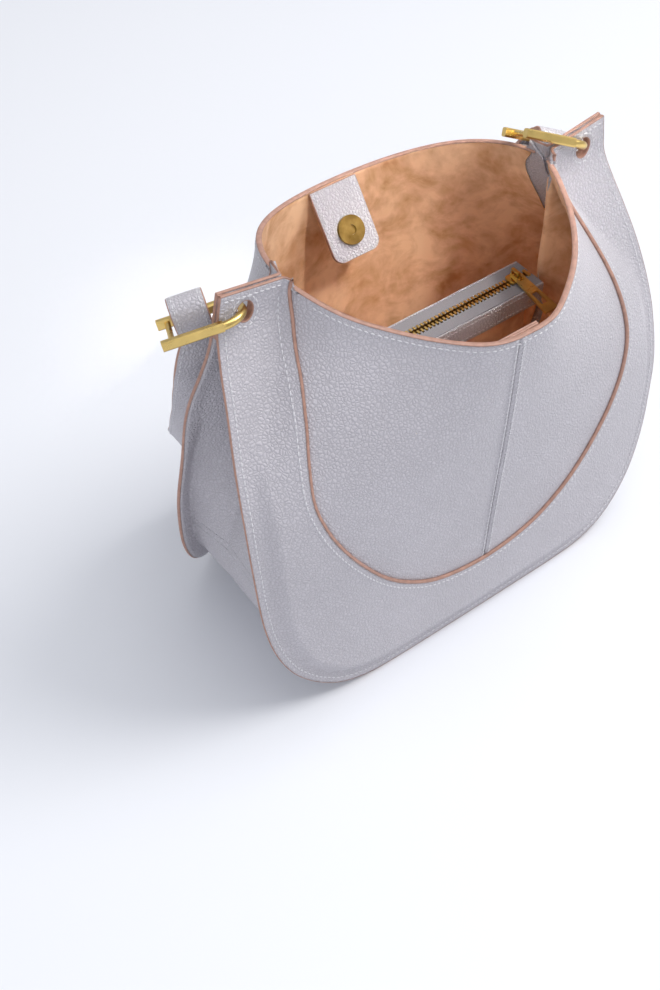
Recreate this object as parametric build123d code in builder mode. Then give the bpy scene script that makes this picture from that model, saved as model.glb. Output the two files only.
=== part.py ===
"""Soft leather hobo bag with a crescent front, folded side gussets, two ring links and a flat shoulder strap.

Frame: millimetres, +Z up, X across the bag, the front face looks along -Y.
Origin: middle of the footprint, on the surface that the bag stands on.
"""

import os
from math import cos, hypot, radians, sin, sqrt

from build123d import *

os.makedirs("parts", exist_ok=True)

# ---- Overall sizes ----
body_width = 334.0
body_height = 301.0
base_depth = 171.0
mouth_width = 200.0
mouth_dip = 29.0

# ---- Leather and lining ----
crescent_thickness = 2.0
panel_thickness = 1.8
lining_thickness = 0.8
gusset_thickness = 1.8
flange_width = 10.0
crescent_overlap = 12.0
seam_gap = 0.2
lining_margin = 2.0
gusset_join_height = 92.0
gusset_top = 271.0
steepest_slant = 1.6
thinnest_leg = 0.7

# ---- Wings and their ring holes ----
wing_half_thickness = 2.8
thinnest_wing = 0.4
hole_x = 126.0
hole_z = 284.5
hole_width = 11.6
hole_height = 14.6
stay_bottom = 273.0

# ---- Rings ----
ring_half_gap = 12.5
ring_length = 50.0
ring_rod = 5.0
ring_bar_thickness = 5.6
ring_bar_width = 4.8
ring_bar_chamfer = 0.9
cross_bar_diameter = 3.4
cross_bar_setback = 6.0

# ---- Closing tabs and snap ----
tab_width = 36.0
tab_length = 44.0
tab_layer = 1.4
tab_corner = 7.0
tab_hinge_z = 255.0
tab_clearance = 0.5
back_tab_tilt = 38.0
front_tab_tilt = 10.0
snap_radius = 9.5
snap_height = 2.4
snap_from_top = 26.0
snap_post_radius = 2.6
snap_clearance = 0.3
snap_socket_radius = 3.2
snap_socket_depth = 1.4
washer_radius = 7.0
washer_thickness = 0.6
pocket_clearance = 0.05
post_recess = 0.1

# ---- Centre zip pouch ----
pouch_half_width = 97.0
pouch_top = 198.0
pouch_bottom = 84.0
pouch_corner = 26.0
pouch_half_depth = 12.0
pouch_wall = 1.2
band_height = 17.0
band_thickness = 1.6
band_rise = 1.2
tape_thickness = 0.8
tooth_pitch = 3.0
tooth_length = 1.5
tooth_reach = 2.6
tooth_height = 2.4
stop_length = 2.4
stop_proud = 0.2
stop_inset = 3.0
teeth_end_space = 14.0
slider_length = 12.0
slider_corner = 2.2
slider_half_width = 4.4
slider_plate = 1.1
slider_post = 0.9
slider_clearance = 0.25
slider_x = 84.0
bridge_length = 7.0
bridge_width = 2.2
bridge_height = 5.4
bridge_wall = 1.1
pull_length = 36.0
pull_thickness = 1.5
pull_droop = 9.0
pull_eye_half = 3.4
pull_end_half = 5.5
pull_eye_rim = 1.5
pull_eye_height = 6.0

# ---- Strap ----
strap_width = 21.0
strap_outer_thickness = 2.0
strap_lining_thickness = 1.6
loop_gap = 9.4
left_loop_rise = 13.0
right_loop_rise = 7.0
loop_drop = 20.0
left_loop_along = 28.0
right_loop_along = 16.0


def across(value):
    """Scale a nominal X of the body outline to the body width."""
    return value * body_width / 334.0


def up(value):
    """Scale a nominal Z of the body outline to the body height."""
    return value * body_height / 301.0


def deep(value):
    """Scale a nominal Y of the body outline to the depth at the base."""
    return value * base_depth / 171.0


# Each level of the body: height, half depth at the rim and wing, half depth at the
# centre, and the X of the crease where the bulging body meets the flat wing.
BODY_LEVELS = [
    (up(-6.0), deep(86.0), deep(87.5), across(170.0)),
    (up(40.0), deep(75.0), deep(86.5), across(170.0)),
    (up(90.0), deep(68.0), deep(87.5), across(169.0)),
    (up(130.0), deep(63.5), deep(89.0), across(168.0)),
    (up(165.0), deep(55.5), deep(90.5), across(163.0)),
    (up(190.0), deep(46.5), deep(91.5), across(153.0)),
    (up(215.0), deep(34.5), deep(92.3), across(139.0)),
    (up(240.0), deep(21.5), deep(93.0), across(122.0)),
    (up(260.0), deep(10.5), deep(93.5), across(110.0)),
    (up(276.0), wing_half_thickness + 0.9, deep(93.8), across(104.0)),
    (up(289.0), wing_half_thickness, deep(94.0), across(100.0)),
    (up(312.0), wing_half_thickness, deep(94.0), across(99.0)),
]
BEYOND_RIM = across(185.0)

# Lower rim of the bag, right half, from the wing tip down to the flat base.
RIM_POINTS = [
    (across(140.5), up(301.0)),
    (across(145.5), up(272.0)),
    (across(152.0), up(245.0)),
    (across(160.0), up(208.0)),
    (across(165.0), up(168.0)),
    (across(166.5), up(122.0)),
    (across(163.0), up(78.0)),
    (across(154.0), up(47.0)),
    (across(140.0), up(26.0)),
    (across(120.0), up(10.0)),
    (across(97.0), up(2.0)),
    (across(72.0), 0.0),
]

# Painted inner edge of the crescent, right half, from the mouth down to the centre.
CRESCENT_POINTS = [
    (across(98.0), up(294.0)),
    (across(102.0), up(272.0)),
    (across(108.5), up(251.0)),
    (across(116.5), up(228.0)),
    (across(123.5), up(204.0)),
    (across(126.5), up(181.0)),
    (across(122.5), up(161.0)),
    (across(114.0), up(141.0)),
    (across(101.0), up(119.0)),
    (across(84.0), up(96.0)),
    (across(64.0), up(78.0)),
    (across(38.0), up(64.5)),
    (0.0, up(59.0)),
]

# Apex of the side fold: height and X.
FOLD_LEVELS = [
    (gusset_top, across(101.0)),
    (up(235.0), across(101.5)),
    (up(200.0), across(103.5)),
    (up(165.0), across(115.0)),
    (up(128.0), across(138.0)),
    (gusset_join_height, across(153.5)),
]


def between(table, height, column):
    """Straight-line value of one column of a table of levels at a height."""
    ordered = sorted(table)
    for low, high in zip(ordered, ordered[1:]):
        if low[0] <= height <= high[0]:
            share = (height - low[0]) / (high[0] - low[0])
            return low[column] + share * (high[column] - low[column])
    return ordered[-1][column]


def arc_radius(rim_depth, centre_depth, crease_x):
    """Radius of the body's bulge at one level."""
    rise = centre_depth - rim_depth
    return (crease_x**2 + rise**2) / (2 * rise)


def surface_depth(x, height, inset=0.0):
    """Distance of the body's face from the middle plane."""
    rim_depth = between(BODY_LEVELS, height, 1)
    centre_depth = between(BODY_LEVELS, height, 2)
    crease_x = between(BODY_LEVELS, height, 3)
    if abs(x) >= crease_x:
        return rim_depth - inset
    radius = arc_radius(rim_depth, centre_depth, crease_x)
    return centre_depth - radius + sqrt((radius - inset) ** 2 - x**2)


def mirrored(points):
    """The points of a right half outline, mirrored to the left half."""
    return [(-x, z) for x, z in points]


def envelope(inset):
    """Solid inside the body's skin, moved in by a thickness."""
    with BuildPart() as shape:
        for height, rim_depth, centre_depth, crease_x in BODY_LEVELS:
            radius = arc_radius(rim_depth, centre_depth, crease_x)
            arc_centre = centre_depth - radius
            wing = max(rim_depth - inset, thinnest_wing)
            crease = sqrt((radius - inset) ** 2 - (wing - arc_centre) ** 2)
            with BuildSketch(Plane.XY.offset(height)):
                with BuildLine():
                    Line((BEYOND_RIM, -wing), (BEYOND_RIM, wing))
                    Line((BEYOND_RIM, wing), (crease, wing))
                    ThreePointArc((crease, wing), (0, centre_depth - inset), (-crease, wing))
                    Line((-crease, wing), (-BEYOND_RIM, wing))
                    Line((-BEYOND_RIM, wing), (-BEYOND_RIM, -wing))
                    Line((-BEYOND_RIM, -wing), (-crease, -wing))
                    ThreePointArc((-crease, -wing), (0, inset - centre_depth), (crease, -wing))
                    Line((crease, -wing), (BEYOND_RIM, -wing))
                make_face()
        loft(ruled=True)
    return shape.part


def moved_sideways(points, distance):
    """Points of a right half outline, each moved square to the outline (outwards if positive)."""
    moved = []
    for index, (x, z) in enumerate(points):
        before = points[max(index - 1, 0)]
        after = points[min(index + 1, len(points) - 1)]
        if index == len(points) - 1:
            run, fall = -1.0, 0.0
        else:
            run, fall = after[0] - before[0], after[1] - before[1]
        length = hypot(run, fall)
        moved.append((x - distance * fall / length, z + distance * run / length))
    return moved


def rim_face(inset=0.0):
    """Front view of the lower rim, open at the top, as a face."""
    top = up(330.0)
    points = moved_sideways(RIM_POINTS, -inset)
    with BuildSketch(Plane.XZ) as face:
        with BuildLine():
            right = Spline(*points)
            left = Spline(*mirrored(points))
            Line(right @ 1, left @ 1)
            Polyline(right @ 0, (points[0][0], top), (-points[0][0], top), left @ 0)
        make_face()
    return face.sketch


def above_edge_face():
    """Front view of what lies above the mouth and the wings' top edges."""
    tip_x, tip_z = RIM_POINTS[0]
    corner = mouth_width / 2
    corner_z = up(289.0)
    with BuildSketch(Plane.XZ) as face:
        with BuildLine():
            ThreePointArc((-corner, corner_z), (0, corner_z - mouth_dip), (corner, corner_z))
            Polyline((corner, corner_z), (tip_x, tip_z), (2 * tip_x, tip_z), (2 * tip_x, up(340.0)))
            Line((2 * tip_x, up(340.0)), (-2 * tip_x, up(340.0)))
            Polyline((-2 * tip_x, up(340.0)), (-2 * tip_x, tip_z), (-tip_x, tip_z), (-corner, corner_z))
        make_face()
    return face.sketch


def crescent_face(overlap=0.0):
    """Front view of the area inside the crescent's painted edge."""
    top = up(330.0)
    points = moved_sideways(CRESCENT_POINTS, overlap)
    with BuildSketch(Plane.XZ) as face:
        with BuildLine():
            right = Spline(*points, tangents=[(0, -1), (-1, 0)])
            left = Spline(*mirrored(points), tangents=[(0, -1), (1, 0)])
            Polyline(right @ 0, (points[0][0], top), (-points[0][0], top), left @ 0)
        make_face()
    return face.sketch


def between_creases(margin):
    """Front view of the bulging body, between the creases that part it from the wings."""
    side = [(level[3] - margin, level[0]) for level in BODY_LEVELS[-2:4:-1]]
    low = (BEYOND_RIM, up(160.0))
    base = (BEYOND_RIM, -flange_width)
    with BuildSketch(Plane.XZ) as face:
        with BuildLine():
            Polyline(*side, low, base, *mirrored([base, low]), *reversed(mirrored(side)), close=True)
        make_face()
    return face.sketch


def body_inside_face():
    """Front view of the lined inside, clear of the flange and of the wing creases."""
    with BuildSketch(Plane.XZ) as face:
        add(rim_face(flange_width + gusset_thickness + lining_margin))
        add(between_creases(3.0), mode=Mode.INTERSECT)
    return face.sketch


def hole_centres():
    """The two ring holes."""
    return [(-hole_x, hole_z), (hole_x, hole_z)]


def finish(part, name):
    """Label a finished piece and write its file."""
    part.label = name
    export_step(part, f"parts/{name}.step")


under_crescent = crescent_thickness
under_panel = crescent_thickness + panel_thickness
under_lining = under_panel + lining_thickness
skin = envelope(0.0)
skin_under_crescent = envelope(under_crescent)
skin_under_panel = envelope(under_panel)
skin_under_lining = envelope(under_lining)
REACH = base_depth

# ---------------- Front and back leather ----------------
with BuildPart() as front_crescent:
    add(skin)
    add(skin_under_crescent, mode=Mode.SUBTRACT)
    with BuildSketch(Plane.XZ):
        add(rim_face())
        add(above_edge_face(), mode=Mode.SUBTRACT)
        add(crescent_face(), mode=Mode.SUBTRACT)
        with Locations(*hole_centres()):
            Ellipse(hole_width / 2, hole_height / 2, mode=Mode.SUBTRACT)
    extrude(amount=REACH, mode=Mode.INTERSECT)
finish(front_crescent.part, "front_crescent")

with BuildPart() as back_crescent:
    add(mirror(front_crescent.part, about=Plane.XZ))
finish(back_crescent.part, "back_crescent")

with BuildPart() as front_panel_right:
    add(skin_under_crescent)
    add(skin_under_panel, mode=Mode.SUBTRACT)
    with BuildSketch(Plane.XZ):
        add(crescent_face(crescent_overlap))
    extrude(amount=REACH, mode=Mode.INTERSECT)
    with BuildSketch(Plane.XZ):
        add(between_creases(1.5))
        add(above_edge_face(), mode=Mode.SUBTRACT)
    extrude(amount=REACH, both=True, mode=Mode.INTERSECT)
    split(bisect_by=Plane.XZ, keep=Keep.TOP)
    split(bisect_by=Plane.YZ.offset(seam_gap / 2), keep=Keep.TOP)
finish(front_panel_right.part, "front_panel_right")

with BuildPart() as front_panel_left:
    add(mirror(front_panel_right.part, about=Plane.YZ))
finish(front_panel_left.part, "front_panel_left")

with BuildPart() as back_panel_right:
    add(mirror(front_panel_right.part, about=Plane.XZ))
finish(back_panel_right.part, "back_panel_right")

with BuildPart() as back_panel_left:
    add(mirror(front_panel_left.part, about=Plane.XZ))
finish(back_panel_left.part, "back_panel_left")

# ---------------- Lining ----------------
with BuildPart() as front_lining:
    add(skin_under_panel)
    add(skin_under_lining, mode=Mode.SUBTRACT)
    with BuildSketch(Plane.XZ):
        add(body_inside_face())
        add(above_edge_face(), mode=Mode.SUBTRACT)
    extrude(amount=REACH, both=True, mode=Mode.INTERSECT)
    split(bisect_by=Plane.XZ, keep=Keep.TOP)
finish(front_lining.part, "front_lining")

with BuildPart() as back_lining:
    add(mirror(front_lining.part, about=Plane.XZ))
finish(back_lining.part, "back_lining")


# ---------------- Gusset ----------------
def flange_band():
    """Gusset margins that lie behind both crescents, all round the lower rim."""
    with BuildPart() as band:
        add(skin_under_crescent)
        add(skin_under_panel, mode=Mode.SUBTRACT)
        with BuildSketch(Plane.XZ):
            add(rim_face())
            add(rim_face(flange_width), mode=Mode.SUBTRACT)
        extrude(amount=REACH, both=True, mode=Mode.INTERSECT)
    return band.part


def rim_x_at(height):
    """Half width of the rim at a height."""
    return between([(z, x) for x, z in RIM_POINTS], height, 1)


def folded_section(level, apex, start, thickness):
    """Closed outline of the folded wall at one height."""
    rim_x = rim_x_at(level) - flange_width - start
    leg = max(surface_depth(rim_x, level, under_crescent + gusset_thickness / 2), thinnest_leg)
    slant = hypot(rim_x - apex + start, leg) / max(leg, 1.0)
    inner = thickness * min(slant, steepest_slant)
    return [
        (rim_x, -leg),
        (apex - start, 0),
        (rim_x, leg),
        (rim_x - inner, leg),
        (apex - start - inner, 0),
        (rim_x - inner, -leg),
    ]


def folded_wall(start, thickness, top):
    """Side wall of the right gusset, folded inwards between the two faces."""
    with BuildPart() as wall:
        for height, apex in FOLD_LEVELS:
            level = min(height, top)
            with BuildSketch(Plane.XY.offset(level)):
                with BuildLine():
                    Polyline(*folded_section(level, apex, start, thickness), close=True)
                make_face()
        loft(ruled=True)
    return wall.part


band = flange_band()

with BuildPart() as gusset_right:
    add(band)
    with BuildSketch(Plane.XY.offset(gusset_join_height)):
        with Locations((BEYOND_RIM, 0)):
            Rectangle(2 * BEYOND_RIM - across(190.0), 2 * REACH)
    extrude(amount=gusset_top - gusset_join_height, mode=Mode.INTERSECT)
    add(folded_wall(0.0, gusset_thickness, gusset_top))
finish(gusset_right.part, "gusset_right")

with BuildPart() as gusset_left:
    add(mirror(gusset_right.part, about=Plane.YZ))
finish(gusset_left.part, "gusset_left")


def base_wall(start, thickness, skin_solid):
    """Wall that follows the lower rim from face to face below the side folds."""
    with BuildPart() as wall:
        with BuildSketch(Plane.XZ):
            add(rim_face(flange_width + start))
            add(rim_face(flange_width + start + thickness), mode=Mode.SUBTRACT)
            with Locations((0, gusset_join_height - up(100.0))):
                Rectangle(3 * body_width, up(200.0), mode=Mode.INTERSECT)
        extrude(amount=REACH, both=True)
        add(skin_solid, mode=Mode.INTERSECT)
    return wall.part


skin_in_flange = envelope(under_crescent + gusset_thickness / 2)

with BuildPart() as gusset_bottom:
    add(band)
    with BuildSketch(Plane.XY.offset(gusset_join_height)):
        Rectangle(4 * BEYOND_RIM, 2 * REACH)
    extrude(amount=-up(200.0), mode=Mode.INTERSECT)
    add(base_wall(0.0, gusset_thickness, skin_in_flange))
finish(gusset_bottom.part, "gusset_bottom")

with BuildPart() as gusset_lining_bottom:
    add(base_wall(gusset_thickness, lining_thickness, skin_under_lining))
finish(gusset_lining_bottom.part, "gusset_lining_bottom")

# ---------------- Wing stays ----------------
with BuildPart() as wing_stay_right:
    add(skin_under_crescent)
    with BuildSketch(Plane.XZ):
        add(rim_face())
        add(above_edge_face(), mode=Mode.SUBTRACT)
        with Locations((across(104.0) + body_width, stay_bottom + body_height / 2)):
            Rectangle(2 * body_width, body_height, mode=Mode.INTERSECT)
        with Locations((hole_x, hole_z)):
            Ellipse(hole_width / 2, hole_height / 2, mode=Mode.SUBTRACT)
    extrude(amount=REACH, both=True, mode=Mode.INTERSECT)
finish(wing_stay_right.part, "wing_stay_right")

with BuildPart() as wing_stay_left:
    add(mirror(wing_stay_right.part, about=Plane.YZ))
finish(wing_stay_left.part, "wing_stay_left")

# ---------------- Closing tabs and magnetic snap ----------------
def tab_plane(side, tilt):
    """Plane of a tab: origin on its hinge line, local -Y down the tab, local +Z into the bag."""
    hinge_y = surface_depth(0, tab_hinge_z, under_lining) - tab_clearance - 2 * tab_layer
    down = Vector(0, -side * sin(radians(tilt)), -cos(radians(tilt)))
    facing = Vector(0, -side * cos(radians(tilt)), sin(radians(tilt)))
    return Plane(origin=(0, side * hinge_y, tab_hinge_z), x_dir=(-down).cross(facing), z_dir=facing)


def tab_layer_piece(plane, low, pocket_low):
    """One leather layer of a tab, rounded at its free end, with half the washer's pocket."""
    with BuildPart() as layer:
        with BuildSketch(plane.offset(low)):
            with Locations((0, -tab_length / 2)):
                Rectangle(tab_width, tab_length)
        extrude(amount=tab_layer)
        corners = layer.edges().filter_by(Axis((0, 0, 0), plane.z_dir))
        free_end = corners.sort_by(lambda edge: (edge.center() - plane.origin).length)[-2:]
        fillet(free_end, tab_corner)
        with BuildSketch(plane.offset(pocket_low)):
            with Locations((0, -snap_from_top)):
                Circle(washer_radius + snap_clearance)
        extrude(amount=washer_thickness / 2 + pocket_clearance, mode=Mode.SUBTRACT)
        with BuildSketch(plane.offset(low)):
            with Locations((0, -snap_from_top)):
                Circle(snap_post_radius + snap_clearance)
        extrude(amount=tab_layer, mode=Mode.SUBTRACT)
    return layer.part


def snap_disc(plane, dished):
    """Magnetic snap half on the inner face of a tab, with its post through both leathers."""
    with BuildPart() as disc:
        with BuildSketch(plane.offset(2 * tab_layer)):
            with Locations((0, -snap_from_top)):
                Circle(snap_radius)
        extrude(amount=snap_height)
        with BuildSketch(plane.offset(post_recess)):
            with Locations((0, -snap_from_top)):
                Circle(snap_post_radius)
        extrude(amount=2 * tab_layer)
        with BuildSketch(plane.offset(2 * tab_layer + snap_height)):
            with Locations((0, -snap_from_top)):
                Circle(snap_socket_radius)
        if dished:
            extrude(amount=-snap_socket_depth, mode=Mode.SUBTRACT)
        else:
            extrude(amount=snap_socket_depth - snap_clearance)
    return disc.part


def snap_washer(plane):
    """Washer between the two leathers that holds a snap half."""
    with BuildPart() as washer:
        with BuildSketch(plane.offset(tab_layer - washer_thickness / 2)):
            with Locations((0, -snap_from_top)):
                Circle(washer_radius)
                Circle(snap_post_radius + snap_clearance / 2, mode=Mode.SUBTRACT)
        extrude(amount=washer_thickness)
    return washer.part


for tab_name, side, tilt, dished in [("back", 1, back_tab_tilt, True), ("front", -1, front_tab_tilt, False)]:
    plane = tab_plane(side, tilt)
    outer_pocket = tab_layer - washer_thickness / 2 - pocket_clearance
    finish(tab_layer_piece(plane, 0.0, outer_pocket), f"{tab_name}_tab_outer")
    finish(tab_layer_piece(plane, tab_layer, tab_layer), f"{tab_name}_tab_inner")
    finish(snap_washer(plane), f"{tab_name}_snap_washer")
    finish(snap_disc(plane, dished), f"{tab_name}_snap_half")


# ---------------- Centre zip pouch ----------------
def pouch_outline(inset):
    """Front view of the pouch, with round lower corners."""
    half = pouch_half_width - inset
    low = pouch_bottom + inset
    corner = pouch_corner - inset
    diagonal = corner * (1 - sqrt(0.5))
    with BuildSketch(Plane.XZ) as face:
        with BuildLine():
            Polyline((-half, low + corner), (-half, pouch_top), (half, pouch_top), (half, low + corner))
            ThreePointArc((half, low + corner), (half - diagonal, low + diagonal), (half - corner, low))
            Line((half - corner, low), (corner - half, low))
            ThreePointArc((corner - half, low), (diagonal - half, low + diagonal), (-half, low + corner))
        make_face()
    return face.sketch


with BuildPart() as pouch_front:
    with BuildSketch(Plane.XZ):
        add(pouch_outline(0.0))
    extrude(amount=pouch_half_depth)
    with BuildSketch(Plane.XZ):
        add(pouch_outline(pouch_wall))
    extrude(amount=pouch_half_depth - pouch_wall, mode=Mode.SUBTRACT)
finish(pouch_front.part, "pouch_front")

with BuildPart() as pouch_back:
    add(mirror(pouch_front.part, about=Plane.XZ))
finish(pouch_back.part, "pouch_back")

with BuildPart() as pouch_band_front:
    with BuildSketch(Plane.XZ.offset(pouch_half_depth)):
        with Locations((0, pouch_top + band_rise - band_height / 2)):
            Rectangle(2 * pouch_half_width, band_height)
    extrude(amount=band_thickness)
finish(pouch_band_front.part, "pouch_band_front")

with BuildPart() as pouch_band_back:
    add(mirror(pouch_band_front.part, about=Plane.XZ))
finish(pouch_band_back.part, "pouch_band_back")

tape_low = pouch_top
tape_middle = tape_low + tape_thickness / 2
post_half = slider_post / 2 + slider_clearance
teeth_count = int((2 * pouch_half_width - teeth_end_space) / tooth_pitch)

for side_name, side in [("front", -1), ("back", 1)]:
    tape_inner = post_half + tooth_reach / 2
    with BuildPart() as zip_tape:
        with BuildSketch(Plane.XY.offset(tape_low)):
            with Locations((0, side * (tape_inner + pouch_half_depth) / 2)):
                Rectangle(2 * pouch_half_width, pouch_half_depth - tape_inner)
        extrude(amount=tape_thickness)
        with BuildSketch(Plane.XY.offset(tape_low)):
            with Locations((0, side * (tape_inner + 0.5 * tooth_reach / 2))):
                with GridLocations(tooth_pitch, 1, teeth_count, 1):
                    Rectangle(tooth_length, tooth_reach)
        extrude(amount=tape_thickness, mode=Mode.SUBTRACT)
    finish(zip_tape.part, f"zip_tape_{side_name}")
    with BuildPart() as zip_teeth:
        with Locations((0, side * (post_half + tooth_reach / 2), tape_middle)):
            with GridLocations(tooth_pitch, 1, teeth_count, 1):
                Box(tooth_length, tooth_reach, tooth_height)
    finish(zip_teeth.part, f"zip_teeth_{side_name}")

with BuildPart() as zip_end_stops:
    stop_x = pouch_half_width - stop_inset
    with Locations((-stop_x, 0, tape_middle), (stop_x, 0, tape_middle)):
        Box(stop_length, 2 * (post_half + tooth_reach), tooth_height + 2 * stop_proud)
    with BuildSketch(Plane.XY.offset(tape_low)):
        for side in (-1, 1):
            with Locations((0, side * (tape_inner + pouch_half_depth) / 2)):
                Rectangle(2 * pouch_half_width, pouch_half_depth - tape_inner)
    extrude(amount=tape_thickness, mode=Mode.SUBTRACT)
finish(zip_end_stops.part, "zip_end_stops")

# Slider: two plates above and below the chain, joined by a thin post between the rows.
plate_gap = tooth_height / 2 + slider_clearance
with BuildPart() as zip_slider:
    with Locations((slider_x, 0, tape_middle + plate_gap + slider_plate / 2),
                   (slider_x, 0, tape_middle - plate_gap - slider_plate / 2)):
        Box(slider_length, 2 * slider_half_width, slider_plate)
    uprights = zip_slider.edges().filter_by(Axis.Z)
    fillet(uprights, slider_corner)
    with Locations((slider_x, 0, tape_middle)):
        Box(slider_length * 0.5, slider_post, 2 * plate_gap + slider_plate)
    bridge_low = tape_middle + plate_gap + slider_plate
    with BuildSketch(Plane.YZ.offset(slider_x - bridge_width / 2)):
        with Locations((0, bridge_low + bridge_height / 2)):
            Rectangle(bridge_length, bridge_height)
            Rectangle(bridge_length - 2 * bridge_wall, bridge_height, mode=Mode.SUBTRACT)
        with Locations((0, bridge_low + bridge_height - bridge_wall / 2)):
            Rectangle(bridge_length, bridge_wall)
    extrude(amount=bridge_width)
finish(zip_slider.part, "zip_slider")

# Pull: a tapered plate whose end bar lies under the slider's bridge.
pull_axis = Vector(slider_x, 0, bridge_low + (bridge_height - bridge_wall) / 2)
pull_face = Vector(0, -sin(radians(pull_droop)), cos(radians(pull_droop)))
pull_plane = Plane(origin=pull_axis, x_dir=(1, 0, 0), z_dir=pull_face)
eye_middle = -(pull_thickness + pull_eye_height) / 2
with BuildPart() as zip_pull:
    with BuildSketch(pull_plane.offset(-pull_thickness / 2)):
        with BuildLine():
            Polyline((-pull_eye_half, pull_thickness / 2), (pull_eye_half, pull_thickness / 2),
                     (pull_end_half, -pull_length), (-pull_end_half, -pull_length), close=True)
        make_face()
        with Locations((0, eye_middle)):
            Rectangle(2 * pull_eye_half - 2 * pull_eye_rim, pull_eye_height, mode=Mode.SUBTRACT)
        with Locations((0, -pull_length * 0.66)):
            Rectangle(pull_end_half * 0.9, pull_length * 0.3, mode=Mode.SUBTRACT)
    extrude(amount=pull_thickness)
finish(zip_pull.part, "zip_pull")


# ---------------- Rings ----------------
def unit(x, y, z):
    """Direction of unit length."""
    return Vector(x, y, z).normalized()


def ring_frame(side, direction, axis_hint):
    """Plane of a ring: origin in its hole, local X along its bars, local -Y along its axis."""
    along = direction
    axis = (axis_hint - along * axis_hint.dot(along)).normalized()
    return Plane(origin=(side * hole_x, 0, hole_z), x_dir=along, z_dir=axis.cross(along))


def ring(plane):
    """Link with a round curved end, two square-ended bars and a thin cross bar."""
    straight = ring_length - ring_rod / 2 - ring_half_gap
    with BuildPart() as link:
        with BuildLine(plane):
            CenterArc((ring_half_gap, 0), ring_half_gap, 90, 180)
        with BuildSketch(Plane(origin=plane.from_local_coords((ring_half_gap, ring_half_gap, 0)),
                               z_dir=plane.x_dir)):
            Circle(ring_rod / 2)
        sweep()
        for side in (-1, 1):
            middle = (ring_half_gap + straight / 2, side * ring_half_gap)
            with BuildSketch(plane.offset(-ring_bar_thickness / 2)):
                with Locations(middle):
                    Rectangle(straight, ring_bar_width)
            extrude(amount=ring_bar_thickness)
        long_edges = link.edges().filter_by(Axis(plane.origin, plane.x_dir))
        chamfer(long_edges, ring_bar_chamfer)
        bar_plane = Plane(origin=plane.from_local_coords((ring_length - ring_rod / 2 - cross_bar_setback,
                                                          -ring_half_gap, 0)), z_dir=plane.y_dir)
        with BuildSketch(bar_plane):
            Circle(cross_bar_diameter / 2)
        extrude(amount=2 * ring_half_gap)
    return link.part


left_ring_plane = ring_frame(-1, unit(-0.915, 0.355, -0.19), Vector(0.395, 0.884, -0.25))
right_ring_plane = ring_frame(1, unit(-0.864, 0.351, 0.361), Vector(0.142, 0.857, -0.495))
finish(ring(left_ring_plane), "ring_left")
finish(ring(right_ring_plane), "ring_right")


# ---------------- Strap ----------------
def fold_section(plane, along, drop_hint):
    """Plane across a strap loop: origin on the far bar, local -Y down the strap, normal along the bar."""
    centre = plane.from_local_coords((along, -ring_half_gap, 0))
    bar = plane.x_dir
    down = (drop_hint - bar * drop_hint.dot(bar)).normalized()
    return Plane(origin=centre - bar * (strap_width / 2), x_dir=(-down).cross(bar), z_dir=bar)


def strap_fold(section, rise):
    """Doubled leather folded over a ring bar and closed below it."""
    wall = strap_outer_thickness + strap_lining_thickness
    half = loop_gap / 2
    with BuildPart() as fold:
        with BuildSketch(section):
            with Locations((0, (rise - half - loop_drop) / 2)):
                Rectangle(loop_gap + 2 * wall, rise - half + loop_drop)
            with Locations((0, rise - half)):
                Circle(half + wall)
            with Locations((0, (rise - half - loop_drop) / 2 + wall)):
                Rectangle(loop_gap, rise - half + loop_drop, mode=Mode.SUBTRACT)
            with Locations((0, rise - half)):
                Circle(half, mode=Mode.SUBTRACT)
        extrude(amount=strap_width)
    return fold.part


left_section = fold_section(left_ring_plane, left_loop_along, Vector(0, 0.3, -1))
right_section = fold_section(right_ring_plane, right_loop_along, Vector(0, 0.85, -1))
finish(strap_fold(left_section, left_loop_rise), "strap_fold_left")
finish(strap_fold(right_section, right_loop_rise), "strap_fold_right")


def fold_end(section):
    """Middle of the closed lower end of a strap loop."""
    wall = strap_outer_thickness + strap_lining_thickness
    return section.from_local_coords((0, -loop_drop - wall, strap_width / 2))


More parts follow.
